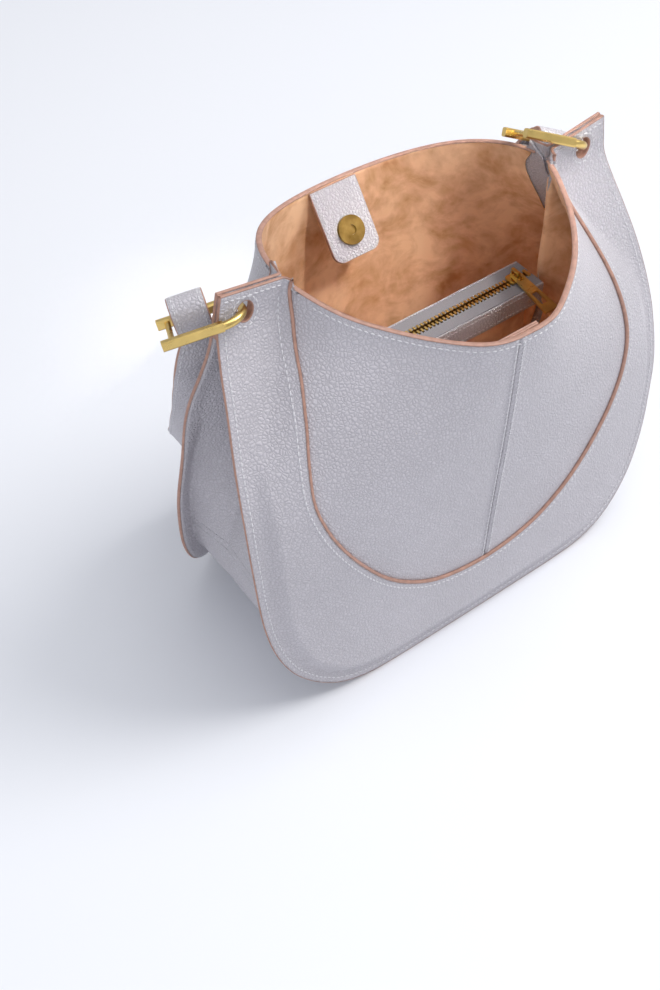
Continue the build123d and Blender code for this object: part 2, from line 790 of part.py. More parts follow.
# The strap from fold to fold: where its middle runs, its width and its face direction.
# It drops from the left ring, turns edge-on, hangs in a low bow behind the bag, turns
# back and rises over the rear rim to the right ring.
STRAP_RUN = [
    ((across(-150.0), deep(49.0), up(222.0)), (-0.85, 0.5, -0.1), (0.45, 0.85, 0.25)),
    ((across(-151.0), deep(66.0), up(192.0)), (-0.6, 0.8, 0.0), (0.75, 0.6, 0.25)),
    ((across(-149.0), deep(80.0), up(160.0)), (-0.25, 0.95, 0.1), (0.95, 0.25, 0.2)),
    ((across(-140.0), deep(92.0), up(125.0)), (0.0, 1.0, 0.1), (0.93, 0.0, 0.35)),
    ((across(-118.0), deep(99.0), up(90.0)), (0.0, 1.0, 0.0), (0.8, 0.0, 0.6)),
    ((across(-84.0), deep(104.0), up(62.0)), (0.0, 1.0, 0.0), (0.5, 0.0, 0.86)),
    ((across(-42.0), deep(106.0), up(46.0)), (0.0, 1.0, 0.0), (0.25, 0.0, 0.97)),
    ((0.0, deep(107.0), up(41.0)), (0.0, 1.0, 0.0), (0.0, 0.0, 1.0)),
    ((across(42.0), deep(106.0), up(46.0)), (0.0, 1.0, 0.0), (-0.25, 0.0, 0.97)),
    ((across(84.0), deep(104.0), up(64.0)), (0.0, 1.0, 0.0), (-0.52, 0.0, 0.85)),
    ((across(114.0), deep(101.0), up(94.0)), (0.0, 1.0, 0.0), (-0.82, 0.0, 0.57)),
    ((across(134.0), deep(96.0), up(135.0)), (0.0, 1.0, 0.0), (-0.97, 0.0, 0.25)),
    ((across(138.0), deep(93.0), up(165.0)), (0.35, 0.93, 0.0), (-0.93, 0.35, 0.1)),
    ((across(137.0), deep(88.0), up(193.0)), (0.7, 0.7, 0.0), (-0.7, 0.7, 0.15)),
    ((across(130.0), deep(78.0), up(222.0)), (0.9, 0.3, 0.0), (-0.25, 0.85, 0.4)),
    ((across(117.0), deep(56.0), up(243.0)), (0.9, -0.3, -0.25), (0.3, 0.55, 0.7)),
]


def strap_section(station, low, high):
    """Cross-section of one strap layer at one station of its run."""
    point, width_dir, normal_dir = station
    normal = Vector(*normal_dir).normalized()
    width = Vector(*width_dir)
    width = (width - normal * width.dot(normal)).normalized()
    with BuildSketch(Plane(origin=Vector(*point), x_dir=width, z_dir=width.cross(normal))) as section:
        with Locations((0, (low + high) / 2)):
            Rectangle(strap_width, high - low)
    return section.sketch.face()


def strap_layer(low, high):
    """One leather layer of the strap, from fold to fold, behind the bag."""
    first = (fold_end(left_section), left_section.z_dir, left_section.z_dir.cross(left_section.y_dir))
    last = (fold_end(right_section), -right_section.z_dir, right_section.z_dir.cross(right_section.y_dir))
    sections = [strap_section(station, low, high) for station in [first, *STRAP_RUN, last]]
    with BuildPart() as layer:
        for start, end in zip(sections, sections[1:]):
            loft([start, end], ruled=True)
    return layer.part


strap_half = (strap_outer_thickness + strap_lining_thickness) / 2
strap_split = strap_half - strap_lining_thickness
finish(strap_layer(-strap_half, strap_split), "strap_outer")
finish(strap_layer(strap_split, strap_half), "strap_lining")
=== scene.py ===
"""Looks of a soft leather hobo bag, laid out as an add-on and run as a script.

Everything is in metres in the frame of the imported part. Sizes inside the outlines are
written in millimetres and turned to metres where a mesh is placed.
"""
import math

import bmesh
import bpy
from bpy.props import FloatProperty, FloatVectorProperty, PointerProperty
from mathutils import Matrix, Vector, kdtree, noise


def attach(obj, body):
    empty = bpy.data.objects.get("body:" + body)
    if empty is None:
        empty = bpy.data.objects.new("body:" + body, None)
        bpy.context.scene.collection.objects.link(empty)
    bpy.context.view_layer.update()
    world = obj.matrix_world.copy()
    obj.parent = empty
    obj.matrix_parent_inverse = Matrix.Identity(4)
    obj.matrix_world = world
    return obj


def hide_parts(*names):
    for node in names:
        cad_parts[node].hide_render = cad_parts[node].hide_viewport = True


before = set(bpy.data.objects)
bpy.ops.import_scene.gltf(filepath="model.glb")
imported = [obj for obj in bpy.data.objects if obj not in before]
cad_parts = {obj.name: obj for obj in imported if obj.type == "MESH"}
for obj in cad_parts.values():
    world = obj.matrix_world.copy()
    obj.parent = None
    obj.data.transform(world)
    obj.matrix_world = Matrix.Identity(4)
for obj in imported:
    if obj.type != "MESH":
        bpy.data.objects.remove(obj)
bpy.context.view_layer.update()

bl_info = {
    "name": "Hobo bag",
    "version": (1, 0, 0),
    "blender": (4, 5, 0),
    "location": "View3D > Sidebar > Hobo bag",
    "description": "Builds the leather, lining, stitching and metal of a hobo bag",
    "category": "Object",
}

MM = 0.001

# Levels of the body: height, half depth at the rim, half depth at the centre, crease X.
BODY_LEVELS = [
    (-6, 86, 87.5, 170), (40, 75, 86.5, 170), (90, 68, 87.5, 169), (130, 63.5, 89, 168),
    (165, 55.5, 90.5, 163), (190, 46.5, 91.5, 153), (215, 34.5, 92.3, 139), (240, 21.5, 93, 122),
    (260, 10.5, 93.5, 110), (276, 3.7, 93.8, 104), (289, 2.8, 94, 100), (312, 2.8, 94, 99),
]
# The back stands nearly closed at the sides: height and half depth at its rim.
BACK_RIM = [
    (-6, 86), (2, 78), (10, 60), (26, 45), (50, 37), (78, 34), (122, 29), (168, 22), (208, 17),
    (245, 7.5), (260, 4.4), (276, 3.2), (289, 2.8), (312, 2.8),
]
# How full the front stands at the mouth, from the left crease to the right one.
MOUTH_FULLNESS = [
    (-1.0, 0.0), (-0.915, 0.2), (-0.81, 0.36), (-0.58, 0.57), (-0.4, 0.74), (-0.22, 0.9),
    (-0.1, 0.965), (0.03, 0.99), (0.24, 0.985), (0.44, 0.86), (0.64, 0.68), (0.815, 0.44),
    (0.94, 0.18), (1.0, 0.0),
]
RIM = [
    (140.5, 301), (143.3, 286), (145.5, 272), (152, 245), (160, 208), (165, 168), (166.5, 122),
    (163, 78), (154, 47), (140, 26), (120, 10), (97, 2), (72, 0), (36, 0), (0, 0),
]
CRESCENT_EDGE = [
    (98, 294), (102, 272), (108.5, 251), (116.5, 228), (123.5, 204), (126.5, 181), (122.5, 161),
    (114, 141), (101, 119), (84, 96), (64, 78), (38, 64.5), (0, 59),
]
LINING_EDGE = [
    (99, 288), (101, 276), (106, 262), (118, 241), (134, 215), (147, 190), (151, 165), (153, 122),
    (149.6, 80), (142, 53), (131, 35), (115, 22), (95, 14.8), (72, 13.4), (36, 13.4), (0, 13.4),
]
FOLD = [(40, 0), (70, 1.5), (92, 6), (128, 18.5), (165, 40), (200, 47), (235, 41), (271, 34)]
MOUTH_HALF = 100.0
MOUTH_CORNER = 289.0
MOUTH_LOW = 260.0


# Ring holes, rings and strap.
HOLE_X, HOLE_Z = 126.0, 284.5
HOLE_HALF_WIDTH, HOLE_HALF_HEIGHT = 5.8, 7.3
HOLE_STITCH_GAP = 2.6
RING_HALF_GAP = 12.5
STRAP_HALF_WIDTH, STRAP_HALF_THICKNESS = 10.5, 1.75
STRAP_STITCH_OFFSET = 7.6
STRAP_STEPS, STRAP_SIDES = 520, 28
FOLD_RISE_TO_ROUND = 4.7
# Wings: top corners at the crease and at the rim, and the row sewn under them.
WING_TOP_INNER, WING_TOP_OUTER = (98.0, 294.0), (140.5, 301.0)
WING_ROW_INNER, WING_ROW_OUTER = (101.0, 290.6), (138.0, 296.8)
# Centre seam and mouth row of the inner panels.
SEAM_TOP, SEAM_LOW, SEAM_ROW_OFFSET = 256.5, 60.5, 2.6
MOUTH_ROW_HALF = 95.0
PANEL_THICKNESS, LINING_THICKNESS, GUSSET_THICKNESS = 1.6, 0.7, 1.5
LINING_DEPTH = 4.9
GUSSET_DEPTH, GUSSET_FLANGE, GUSSET_CREASE = 3.0, 9.0, 0.6
GUSSET_TOP, GUSSET_JOIN = 272, 92
# Closing tabs: half width, length, corner and how far the stitches stand in.
TAB_HALF, TAB_LENGTH, TAB_CORNER, TAB_STITCH_INSET = 17.6, 47.6, 6.8, 3.2
TAB_HINGE_Y, TAB_HINGE_Z = 85.475, 255.0
# Centre pouch: half width, top, bottom and lower corner.
POUCH_HALF, POUCH_TOP, POUCH_BOTTOM, POUCH_CORNER = 97.0, 198.0, 84.0, 26.0
POUCH_ROWS = (196.0, 185.6)


def smoothed(table, at, column=1):
    """Value of a table's column, with a smooth curve through its rows."""
    if at <= table[0][0]:
        return table[0][column]
    for i in range(len(table) - 1):
        low, high = table[i], table[i + 1]
        if at <= high[0]:
            span = high[0] - low[0]
            t = (at - low[0]) / span
            rise = high[column] - low[column]
            before = table[max(i - 1, 0)]
            after = table[min(i + 2, len(table) - 1)]
            slope_low = (high[column] - before[column]) / (high[0] - before[0]) * span
            slope_high = (after[column] - low[column]) / (after[0] - low[0]) * span
            a = slope_low + slope_high - 2 * rise
            b = 3 * rise - 2 * slope_low - slope_high
            return low[column] + t * (slope_low + t * (b + t * a))
    return table[-1][column]


def soft_step(low, high, value):
    """0 below low, 1 above high, smooth between."""
    t = min(max((value - low) / (high - low), 0.0), 1.0)
    return t * t * (3 - 2 * t)


def half_depth(x, z, side):
    """Distance of the outer face from the middle plane, on the front (-1) or back (1)."""
    rim = smoothed(BODY_LEVELS, z, 1) if side < 0 else smoothed(BACK_RIM, z)
    centre = smoothed(BODY_LEVELS, z, 2)
    crease = smoothed(BODY_LEVELS, z, 3)
    bulge = centre - rim
    radius = (crease ** 2 + bulge ** 2) / (2 * bulge)
    round_face = centre - radius + math.sqrt(max(radius ** 2 - x ** 2, 0.0))
    if side < 0:
        share = soft_step(170, 262, z)
        full = rim + bulge * smoothed(MOUTH_FULLNESS, min(max(x / crease, -1), 1))
        if abs(x) > crease:
            full = round_face
        round_face += share * (full - round_face)
    softness = 0.8 + 2.6 * (1 - soft_step(200, 280, z))
    over = (round_face - rim) / softness
    lift = softness * (math.log1p(math.exp(over)) if over < 30 else over)
    from_rim = RIM_TREE.find((x, 0, z))[2] if RIM_TREE else 99.0
    flange = FLANGE_DIP * (1 - soft_step(150, 235, z)) * (1 - soft_step(8.5, 17, from_rim))
    return rim + lift - flange


def mouth_edge(x):
    """Height of the mouth's edge."""
    drop = MOUTH_CORNER - MOUTH_LOW
    radius = (MOUTH_HALF ** 2 + drop ** 2) / (2 * drop)
    return MOUTH_LOW + radius - math.sqrt(radius ** 2 - min(abs(x), MOUTH_HALF) ** 2)


def full_outline(right_half):
    """Outline from the right end, through the middle, to the left end."""
    return right_half + [(-x, z) for x, z in reversed(right_half[:-1])]


class Outline:
    """Smooth outline in front view, read at equal steps of its length."""

    def __init__(self, points, steps=900):
        dense = []
        for i in range(len(points) - 1):
            p0, p1 = points[max(i - 1, 0)], points[i]
            p2, p3 = points[i + 1], points[min(i + 2, len(points) - 1)]
            for k in range(24):
                t = k / 24
                dense.append(tuple(
                    0.5 * (2 * b + (c - a) * t + (2 * a - 5 * b + 4 * c - d) * t * t
                           + (3 * b - a - 3 * c + d) * t ** 3)
                    for a, b, c, d in zip(p0, p1, p2, p3)))
        dense.append(tuple(points[-1]))
        runs = [0.0]
        for a, b in zip(dense, dense[1:]):
            runs.append(runs[-1] + math.dist(a, b))
        self.length = runs[-1]
        self.points = []
        k = 0
        for step in range(steps + 1):
            target = self.length * step / steps
            while k < len(dense) - 2 and runs[k + 1] < target:
                k += 1
            share = (target - runs[k]) / max(runs[k + 1] - runs[k], 1e-9)
            self.points.append(tuple(a + (b - a) * share for a, b in zip(dense[k], dense[k + 1])))

    def at(self, u):
        """Point at a share of the length."""
        place = min(max(u, 0.0), 1.0) * (len(self.points) - 1)
        k = min(int(place), len(self.points) - 2)
        share = place - k
        return tuple(a + (b - a) * share for a, b in zip(self.points[k], self.points[k + 1]))

    def inward(self, u, distance):
        """Point moved square to a flat outline, to the left of its direction of travel."""
        a, b = self.at(u - 0.004), self.at(u + 0.004)
        run, rise = b[0] - a[0], b[1] - a[1]
        size = math.hypot(run, rise)
        x, z = self.at(u)
        return x + distance * rise / size, z - distance * run / size


RIM_LINE = Outline(full_outline(RIM))
FLANGE_DIP = 5.0
CRESCENT_LINE = Outline(full_outline(CRESCENT_EDGE))
LINING_LINE = Outline(full_outline(LINING_EDGE))


def rim_tree():
    """Search tree of the rim, for the distance of a point of the face from the rim."""
    tree = kdtree.KDTree(len(RIM_LINE.points))
    for index, (x, z) in enumerate(RIM_LINE.points):
        tree.insert((x, 0, z), index)
    tree.balance()
    return tree


RIM_TREE = rim_tree()


def inside_rim(u, distance):
    """Point of the rim moved towards the inside of the bag."""
    return RIM_LINE.inward(u, distance)


def outside_crescent(u, distance):
    """Point of the crescent's inner edge moved towards the rim."""
    return CRESCENT_LINE.inward(u, -distance)


def outer_face(x, z, side):
    """Point on the outer surface of the front or back."""
    return Vector((x, side * half_depth(x, z, side), z))


def face_normal(x, z, side):
    """Outward direction of the front or back face."""
    step = 0.8
    across = outer_face(x + step, z, side) - outer_face(x - step, z, side)
    upward = outer_face(x, z + step, side) - outer_face(x, z - step, side)
    normal = across.cross(upward).normalized()
    return normal if normal.y * side > 0 else -normal


def on_face(x, z, side, below=0.0):
    """Point on the front or back face, or square under it by some depth."""
    point = outer_face(x, z, side)
    return point - face_normal(x, z, side) * below if below else point


def wrinkle(x, z):
    """Depth of the lining's loose upright folds, in millimetres."""
    wave = noise.noise(Vector((x * 0.045, z * 0.008, 3.1)))
    fine = noise.noise(Vector((x * 0.11, z * 0.02, 7.7)))
    return 1.7 * wave + 0.7 * fine


# ---------------------------------------------------------------- mesh helpers
def new_object(name, mesh_data, materials, body, smooth=True):
    """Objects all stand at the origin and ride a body."""
    piece = bpy.data.objects.new(name, mesh_data)
    bpy.context.scene.collection.objects.link(piece)
    for material in materials:
        mesh_data.materials.append(material)
    if smooth:
        mesh_data.polygons.foreach_set("use_smooth", [True] * len(mesh_data.polygons))
    if body:
        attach(piece, body)
    return piece


def grid_piece(name, columns, rows, place, materials, body, faces_towards=None, band=None,
               dropped=None):
    """Sheet laid out by a function of two shares, with its front on a chosen side."""
    bm = bmesh.new()
    bmesh.ops.create_grid(bm, x_segments=columns, y_segments=rows, size=1.0)
    for vert in bm.verts:
        u, v = (vert.co.x + 1) / 2, (vert.co.y + 1) / 2
        vert.co = Vector(place(u, v)) * MM
        if band:
            vert.tag = band(u, v)
        elif dropped:
            vert.tag = dropped(u, v)
    if dropped:
        gone = [face for face in bm.faces if all(vert.tag for vert in face.verts)]
        bmesh.ops.delete(bm, geom=gone, context="FACES")
    if band:
        for face in bm.faces:
            face.material_index = 1 if all(vert.tag for vert in face.verts) else 0
    bmesh.ops.remove_doubles(bm, verts=bm.verts, dist=2e-6)
    bm.normal_update()
    if faces_towards is not None:
        score = sum(face.normal.dot(faces_towards(face.calc_center_median())) * face.calc_area()
                    for face in bm.faces)
        if score < 0:
            bmesh.ops.reverse_faces(bm, faces=bm.faces)
    else:
        bmesh.ops.recalc_face_normals(bm, faces=bm.faces)
    data = bpy.data.meshes.new(name)
    bm.to_mesh(data)
    bm.free()
    return new_object(name, data, materials, body)


def thicken(piece, thickness, offset=-1.0, rim_material=0):
    """Real thickness for a sheet, grown away from its visible side."""
    solid = piece.modifiers.new("thickness", "SOLIDIFY")
    solid.thickness = thickness * MM
    solid.offset = offset
    solid.material_offset_rim = rim_material


def bead_piece(name, path, normals, outs, half_width, proud, material, body, closed=False):
    """Rounded painted edge: a half-oval profile swept along a path."""
    count = len(path)
    profile = [math.pi * k / 6 - math.pi / 2 for k in range(7)]
    bm = bmesh.new()
    segments = count if closed else count - 1
    bmesh.ops.create_grid(bm, x_segments=segments, y_segments=7, size=1.0)
    for vert in bm.verts:
        i = round((vert.co.x + 1) / 2 * segments) % count
        j = round((vert.co.y + 1) / 2 * 7)
        if j == 7:
            offset = normals[i] * -half_width - outs[i] * 0.3
        else:
            offset = (normals[i] * (half_width * math.sin(profile[j]))
                      + outs[i] * (proud * math.cos(profile[j])))
        vert.co = (path[i] + offset) * MM
    bmesh.ops.remove_doubles(bm, verts=bm.verts, dist=2e-6)
    bmesh.ops.recalc_face_normals(bm, faces=bm.faces)
    data = bpy.data.meshes.new(name)
    bm.to_mesh(data)
    bm.free()
    return new_object(name, data, [material], body)


def thread_form():
    """Corners and faces of one thread length: a slim rounded form, made once."""
    bm = bmesh.new()
    bmesh.ops.create_uvsphere(bm, u_segments=6, v_segments=4, radius=1.0)
    corners = [vert.co.copy() for vert in bm.verts]
    faces = [[vert.index for vert in face.verts] for face in bm.faces]
    bm.free()
    return corners, faces


def stitch_piece(name, rows, material, body, pitch=3.9, length=3.0, radius=0.5, sunk=0.05):
    """Thread lengths along rows of (point, outward direction), all copies of one form."""
    corners, form_faces = thread_form()
    lean = 0.1
    places, faces = [], []
    for row in rows:
        travelled = 0.0
        due = pitch / 2
        for (a, normal), (b, _) in zip(row, row[1:]):
            gap = (b - a).length
            while gap > 1e-9 and travelled + gap >= due:
                spot = a.lerp(b, (due - travelled) / gap)
                along = (b - a).normalized()
                out = (normal - along * normal.dot(along)).normalized()
                across = along.cross(out)
                along, across = (along + across * lean).normalized(), (across - along * lean).normalized()
                base = len(places)
                lifted = spot + out * (radius * 0.35 - sunk)
                places.extend((lifted + out * (p.x * radius * 0.9) + across * (p.y * radius)
                               + along * (p.z * length / 2)) * MM for p in corners)
                faces.extend([base + index for index in face] for face in form_faces)
                due += pitch
            travelled += gap
    data = bpy.data.meshes.new(name)
    data.from_pydata(places, [], faces)
    return new_object(name, data, [material], body)


# ---------------------------------------------------------------- materials
def shader(name):
    """New material with its shader and node tools."""
    material = bpy.data.materials.new(name)
    material.use_nodes = True
    nodes = material.node_tree.nodes
    return material, nodes, material.node_tree.links, nodes["Principled BSDF"]


def mixed(nodes, links, factor, first, second):
    """Colour between two colours."""
    mix = nodes.new("ShaderNodeMix")
    mix.data_type = "RGBA"
    mix.inputs[6].default_value = (*first, 1)
    mix.inputs[7].default_value = (*second, 1)
    links.new(factor, mix.inputs[0])
    return mix.outputs[2]


def spread(nodes, links, value, low, high):
    """Stretches a value between two limits to 0..1."""
    spreader = nodes.new("ShaderNodeMapRange")
    spreader.inputs["From Min"].default_value = low
    spreader.inputs["From Max"].default_value = high
    links.new(value, spreader.inputs["Value"])
    return spreader.outputs["Result"]


def texture(nodes, links, kind, scale, **settings):
    """Noise or cell texture on the object's own coordinates."""
    coordinates = nodes.new("ShaderNodeTexCoord")
    node = nodes.new("ShaderNodeTex" + kind)
    links.new(coordinates.outputs["Object"], node.inputs["Vector"])
    node.inputs["Scale"].default_value = scale
    for key, value in settings.items():
        if key in node.inputs:
            node.inputs[key].default_value = value
        else:
            setattr(node, key, value)
    return node


def bumped(nodes, links, height, strength, distance, after=None):
    """Bump from a height value."""
    bump = nodes.new("ShaderNodeBump")
    bump.inputs["Strength"].default_value = strength
    bump.inputs["Distance"].default_value = distance
    links.new(height, bump.inputs["Height"])
    if after is not None:
        links.new(after, bump.inputs["Normal"])
    return bump.outputs["Normal"]


def pebbled_leather(name, colour, dark):
    """Pebble-grained leather: rounded cells with fine creases between them, darkened with painted shade."""
    material, nodes, links, base = shader(name)
    warp = texture(nodes, links, "Noise", 160.0, Detail=2.0)
    add = nodes.new("ShaderNodeVectorMath")
    add.operation = "MULTIPLY_ADD"
    add.inputs[1].default_value = (0.0022, 0.0022, 0.0022)
    coordinates = nodes.new("ShaderNodeTexCoord")
    links.new(warp.outputs["Color"], add.inputs[0])
    links.new(coordinates.outputs["Object"], add.inputs[2])
    cracks = texture(nodes, links, "Voronoi", 430.0, feature="DISTANCE_TO_EDGE")
    links.new(add.outputs[0], cracks.inputs["Vector"])
    plateau = spread(nodes, links, cracks.outputs["Distance"], 0.0, 0.42)
    fine = texture(nodes, links, "Noise", 2400.0, Detail=3.0)
    broad = texture(nodes, links, "Noise", 22.0, Detail=3.0)
    mottle = spread(nodes, links, broad.outputs["Fac"], 0.3, 0.7)
    body = mixed(nodes, links, mottle, tuple(c * 0.965 for c in colour), tuple(c * 1.03 for c in colour))
    # Creases between the pebbles are mixed towards the darker colour: painted shade.
    shade = nodes.new("ShaderNodeMix")
    shade.data_type = "RGBA"
    shade.inputs[6].default_value = (*dark, 1)
    links.new(body, shade.inputs[7])
    crease_shade_factor = spread(nodes, links, cracks.outputs["Distance"], -0.12, 0.12)
    links.new(crease_shade_factor, shade.inputs[0])
    links.new(shade.outputs[2], base.inputs["Base Color"])
    base.inputs["Roughness"].default_value = 0.42
    base.inputs["Specular IOR Level"].default_value = 0.42
    base.inputs["Sheen Weight"].default_value = 0.08
    first = bumped(nodes, links, fine.outputs["Fac"], 0.12, 0.0001)
    second = bumped(nodes, links, plateau, 0.75, 0.0007, first)
    links.new(second, base.inputs["Normal"])
    return material


def napped_suede(name, light, dark):
    """Suede: soft nap, worn and mottled, with darker brushed patches."""
    material, nodes, links, base = shader(name)
    broad = texture(nodes, links, "Noise", 34.0, Detail=6.0, Roughness=0.62, Distortion=0.6)
    streaks = texture(nodes, links, "Noise", 110.0, Detail=4.0, Distortion=0.3)
    nap = texture(nodes, links, "Noise", 1500.0, Detail=4.0)
    both = nodes.new("ShaderNodeMath")
    both.operation = "MULTIPLY_ADD"
    both.inputs[1].default_value = 0.35
    links.new(streaks.outputs["Fac"], both.inputs[0])
    links.new(broad.outputs["Fac"], both.inputs[2])
    factor = spread(nodes, links, both.outputs[0], 0.48, 0.78)
    links.new(mixed(nodes, links, factor, dark, light), base.inputs["Base Color"])
    base.inputs["Roughness"].default_value = 0.92
    base.inputs["Specular IOR Level"].default_value = 0.15
    base.inputs["Sheen Weight"].default_value = 0.45
    base.inputs["Sheen Roughness"].default_value = 0.5
    base.inputs["Sheen Tint"].default_value = (1.0, 0.8, 0.6, 1)
    first = bumped(nodes, links, nap.outputs["Fac"], 0.3, 0.00025)
    links.new(bumped(nodes, links, both.outputs[0], 0.25, 0.0009, first), base.inputs["Normal"])
    return material


def painted_edge(name, colour):
    """Painted leather edge: layered matt paint with faint runs."""
    material, nodes, links, base = shader(name)
    runs = texture(nodes, links, "Noise", 260.0, Detail=4.0)
    factor = spread(nodes, links, runs.outputs["Fac"], 0.35, 0.65)
    links.new(mixed(nodes, links, factor, tuple(c * 0.86 for c in colour), tuple(c * 1.1 for c in colour)),
              base.inputs["Base Color"])
    base.inputs["Roughness"].default_value = 0.5
    links.new(bumped(nodes, links, runs.outputs["Fac"], 0.25, 0.0002), base.inputs["Normal"])
    return material


def plated_metal(name, colour, dark, roughness, brushed=0.0):
    """Plated metal with a satin finish and faint wear."""
    material, nodes, links, base = shader(name)
    wear = texture(nodes, links, "Noise", 90.0, Detail=5.0)
    grit = texture(nodes, links, "Noise", 1900.0, Detail=3.0)
    factor = spread(nodes, links, wear.outputs["Fac"], 0.3, 0.62)
    links.new(mixed(nodes, links, factor, dark, colour), base.inputs["Base Color"])
    base.inputs["Metallic"].default_value = 1.0
    rough = nodes.new("ShaderNodeMapRange")
    rough.inputs["To Min"].default_value = roughness - 0.06
    rough.inputs["To Max"].default_value = roughness + 0.1
    links.new(wear.outputs["Fac"], rough.inputs["Value"])
    links.new(rough.outputs["Result"], base.inputs["Roughness"])
    links.new(bumped(nodes, links, grit.outputs["Fac"], 0.08 + brushed, 0.0001), base.inputs["Normal"])
    return material


def twisted_thread(name, colour):
    """Sewing thread with a fine slanting twist."""
    material, nodes, links, base = shader(name)
    twist = texture(nodes, links, "Wave", 900.0, Distortion=1.5)
    links.new(mixed(nodes, links, twist.outputs["Fac"], tuple(c * 0.8 for c in colour), colour),
              base.inputs["Base Color"])
    base.inputs["Roughness"].default_value = 0.7
    links.new(bumped(nodes, links, twist.outputs["Fac"], 0.3, 0.0001), base.inputs["Normal"])
    return material


def woven_tape(name, colour):
    """Woven zip tape: fine ribs across the tape."""
    material, nodes, links, base = shader(name)
    ribs = texture(nodes, links, "Wave", 420.0, Distortion=0.4, bands_direction="X")
    threads = texture(nodes, links, "Wave", 520.0, Distortion=0.4, bands_direction="Y")
    weave = nodes.new("ShaderNodeMath")
    weave.operation = "MULTIPLY"
    links.new(ribs.outputs["Fac"], weave.inputs[0])
    links.new(threads.outputs["Fac"], weave.inputs[1])
    links.new(mixed(nodes, links, weave.outputs[0], tuple(c * 0.6 for c in colour), colour),
              base.inputs["Base Color"])
    base.inputs["Roughness"].default_value = 0.85
    links.new(bumped(nodes, links, weave.outputs[0], 0.5, 0.0002), base.inputs["Normal"])
    return material


def studio_floor(name, colour):
    """Pale seamless floor with a barely uneven sheen."""
    material, nodes, links, base = shader(name)
    drift = texture(nodes, links, "Noise", 1.2, Detail=2.0)
    links.new(mixed(nodes, links, drift.outputs["Fac"], tuple(c * 0.985 for c in colour), colour),
              base.inputs["Base Color"])
    base.inputs["Roughness"].default_value = 0.6
    return material


MATERIALS = {}


def finish_of(name):
    """Material by its plain name, made on first use from the settings."""
    if name in MATERIALS:
        return MATERIALS[name]
    looks = bpy.context.scene.hobo_bag_looks
    leather = tuple(looks.leather)
    if name == "leather":
        # The darker colour is the painted shade in the grain's creases.
        made = pebbled_leather("pebbled lilac leather", leather, tuple(c * 0.6 for c in leather))
    # Darker copy of the same leather: painted shade for the tabs and pouch band inside the mouth.
    elif name == "painted shade leather":
        made = pebbled_leather("shaded lilac leather", tuple(c * 0.9 for c in leather),
                               tuple(c * 0.55 for c in leather))
    elif name == "suede":
        made = napped_suede("tan suede", tuple(looks.suede_light), tuple(looks.suede_dark))
    elif name == "edge":
        made = painted_edge("terracotta edge paint", tuple(looks.edge_paint))
    elif name == "gold":
        made = plated_metal("satin gold", tuple(looks.gold), tuple(c * 0.8 for c in looks.gold), 0.27)
    elif name == "brass":
        made = plated_metal("antique brass", (0.42, 0.27, 0.08), (0.2, 0.12, 0.03), 0.4, 0.15)
    elif name == "thread":
        made = twisted_thread("pale thread", tuple(looks.thread))
    elif name == "tape":
        made = woven_tape("grey zip tape", (0.36, 0.35, 0.38))
    else:
        made = studio_floor("studio floor", (0.83, 0.845, 0.89))
    MATERIALS[name] = made
    return made


# ---------------------------------------------------------------- settings
class HoboBagLooks(bpy.types.PropertyGroup):
    """Colours a maker would change."""
    leather: FloatVectorProperty(name="Leather", description="Grained leather", subtype="COLOR",
                                 default=(0.55, 0.525, 0.565), min=0.0, max=1.0)
    edge_paint: FloatVectorProperty(name="Edge paint", description="Painted edges", subtype="COLOR",
                                    default=(0.42, 0.235, 0.18), min=0.0, max=1.0)
    suede_light: FloatVectorProperty(name="Suede, light", description="Raised nap", subtype="COLOR",
                                     default=(0.93, 0.6, 0.37), min=0.0, max=1.0)
    suede_dark: FloatVectorProperty(name="Suede, dark", description="Brushed patches", subtype="COLOR",
                                    default=(0.6, 0.29, 0.13), min=0.0, max=1.0)
    gold: FloatVectorProperty(name="Gold", description="Rings and zip", subtype="COLOR",
                              default=(0.86, 0.62, 0.22), min=0.0, max=1.0)
    thread: FloatVectorProperty(name="Thread", description="Stitching", subtype="COLOR",
                                default=(0.78, 0.77, 0.8), min=0.0, max=1.0)


class HoboBagSizes(bpy.types.PropertyGroup):
    """Sizes of the sewn details, in metres."""
    stitch_pitch: FloatProperty(name="Stitch pitch", description="Length of one stitch and its gap",
                                default=0.0039, min=0.002, max=0.008, unit="LENGTH")
    stitch_inset: FloatProperty(name="Stitch inset", description="Distance of a row from its edge",
                                default=0.0042, min=0.002, max=0.008, unit="LENGTH")
    leather_thickness: FloatProperty(name="Leather thickness", description="Crescent and strap leather",
                                     default=0.002, min=0.001, max=0.004, unit="LENGTH")


SIDES = [("front", -1), ("back", 1)]


def pitch_mm():
    """Stitch pitch in millimetres."""
    return bpy.context.scene.hobo_bag_sizes.stitch_pitch / MM


def inset_mm():
    """Distance of a stitch row from its edge in millimetres."""
    return bpy.context.scene.hobo_bag_sizes.stitch_inset / MM


def outward(side):
    """Test direction for faces that look to the front or the back."""
    return lambda centre: Vector((0, side, 0))


def hole_place(x, z):
    """Point of a wing moved out to the ring hole's edge when it lies inside the hole."""
    dx, dz = (abs(x) - HOLE_X) / HOLE_HALF_WIDTH, (z - HOLE_Z) / HOLE_HALF_HEIGHT
    reach = math.hypot(dx, dz)
    if reach >= 1.0:
        return x, z
    scale = 1.0 / max(reach, 1e-6)
    return (math.copysign(HOLE_X + dx * scale * HOLE_HALF_WIDTH, x), HOLE_Z + dz * scale * HOLE_HALF_HEIGHT)


def in_hole(x, z):
    """Whether a point of a wing lies in its ring hole."""
    return math.hypot((abs(x) - HOLE_X) / HOLE_HALF_WIDTH, (z - HOLE_Z) / HOLE_HALF_HEIGHT) < 1.0


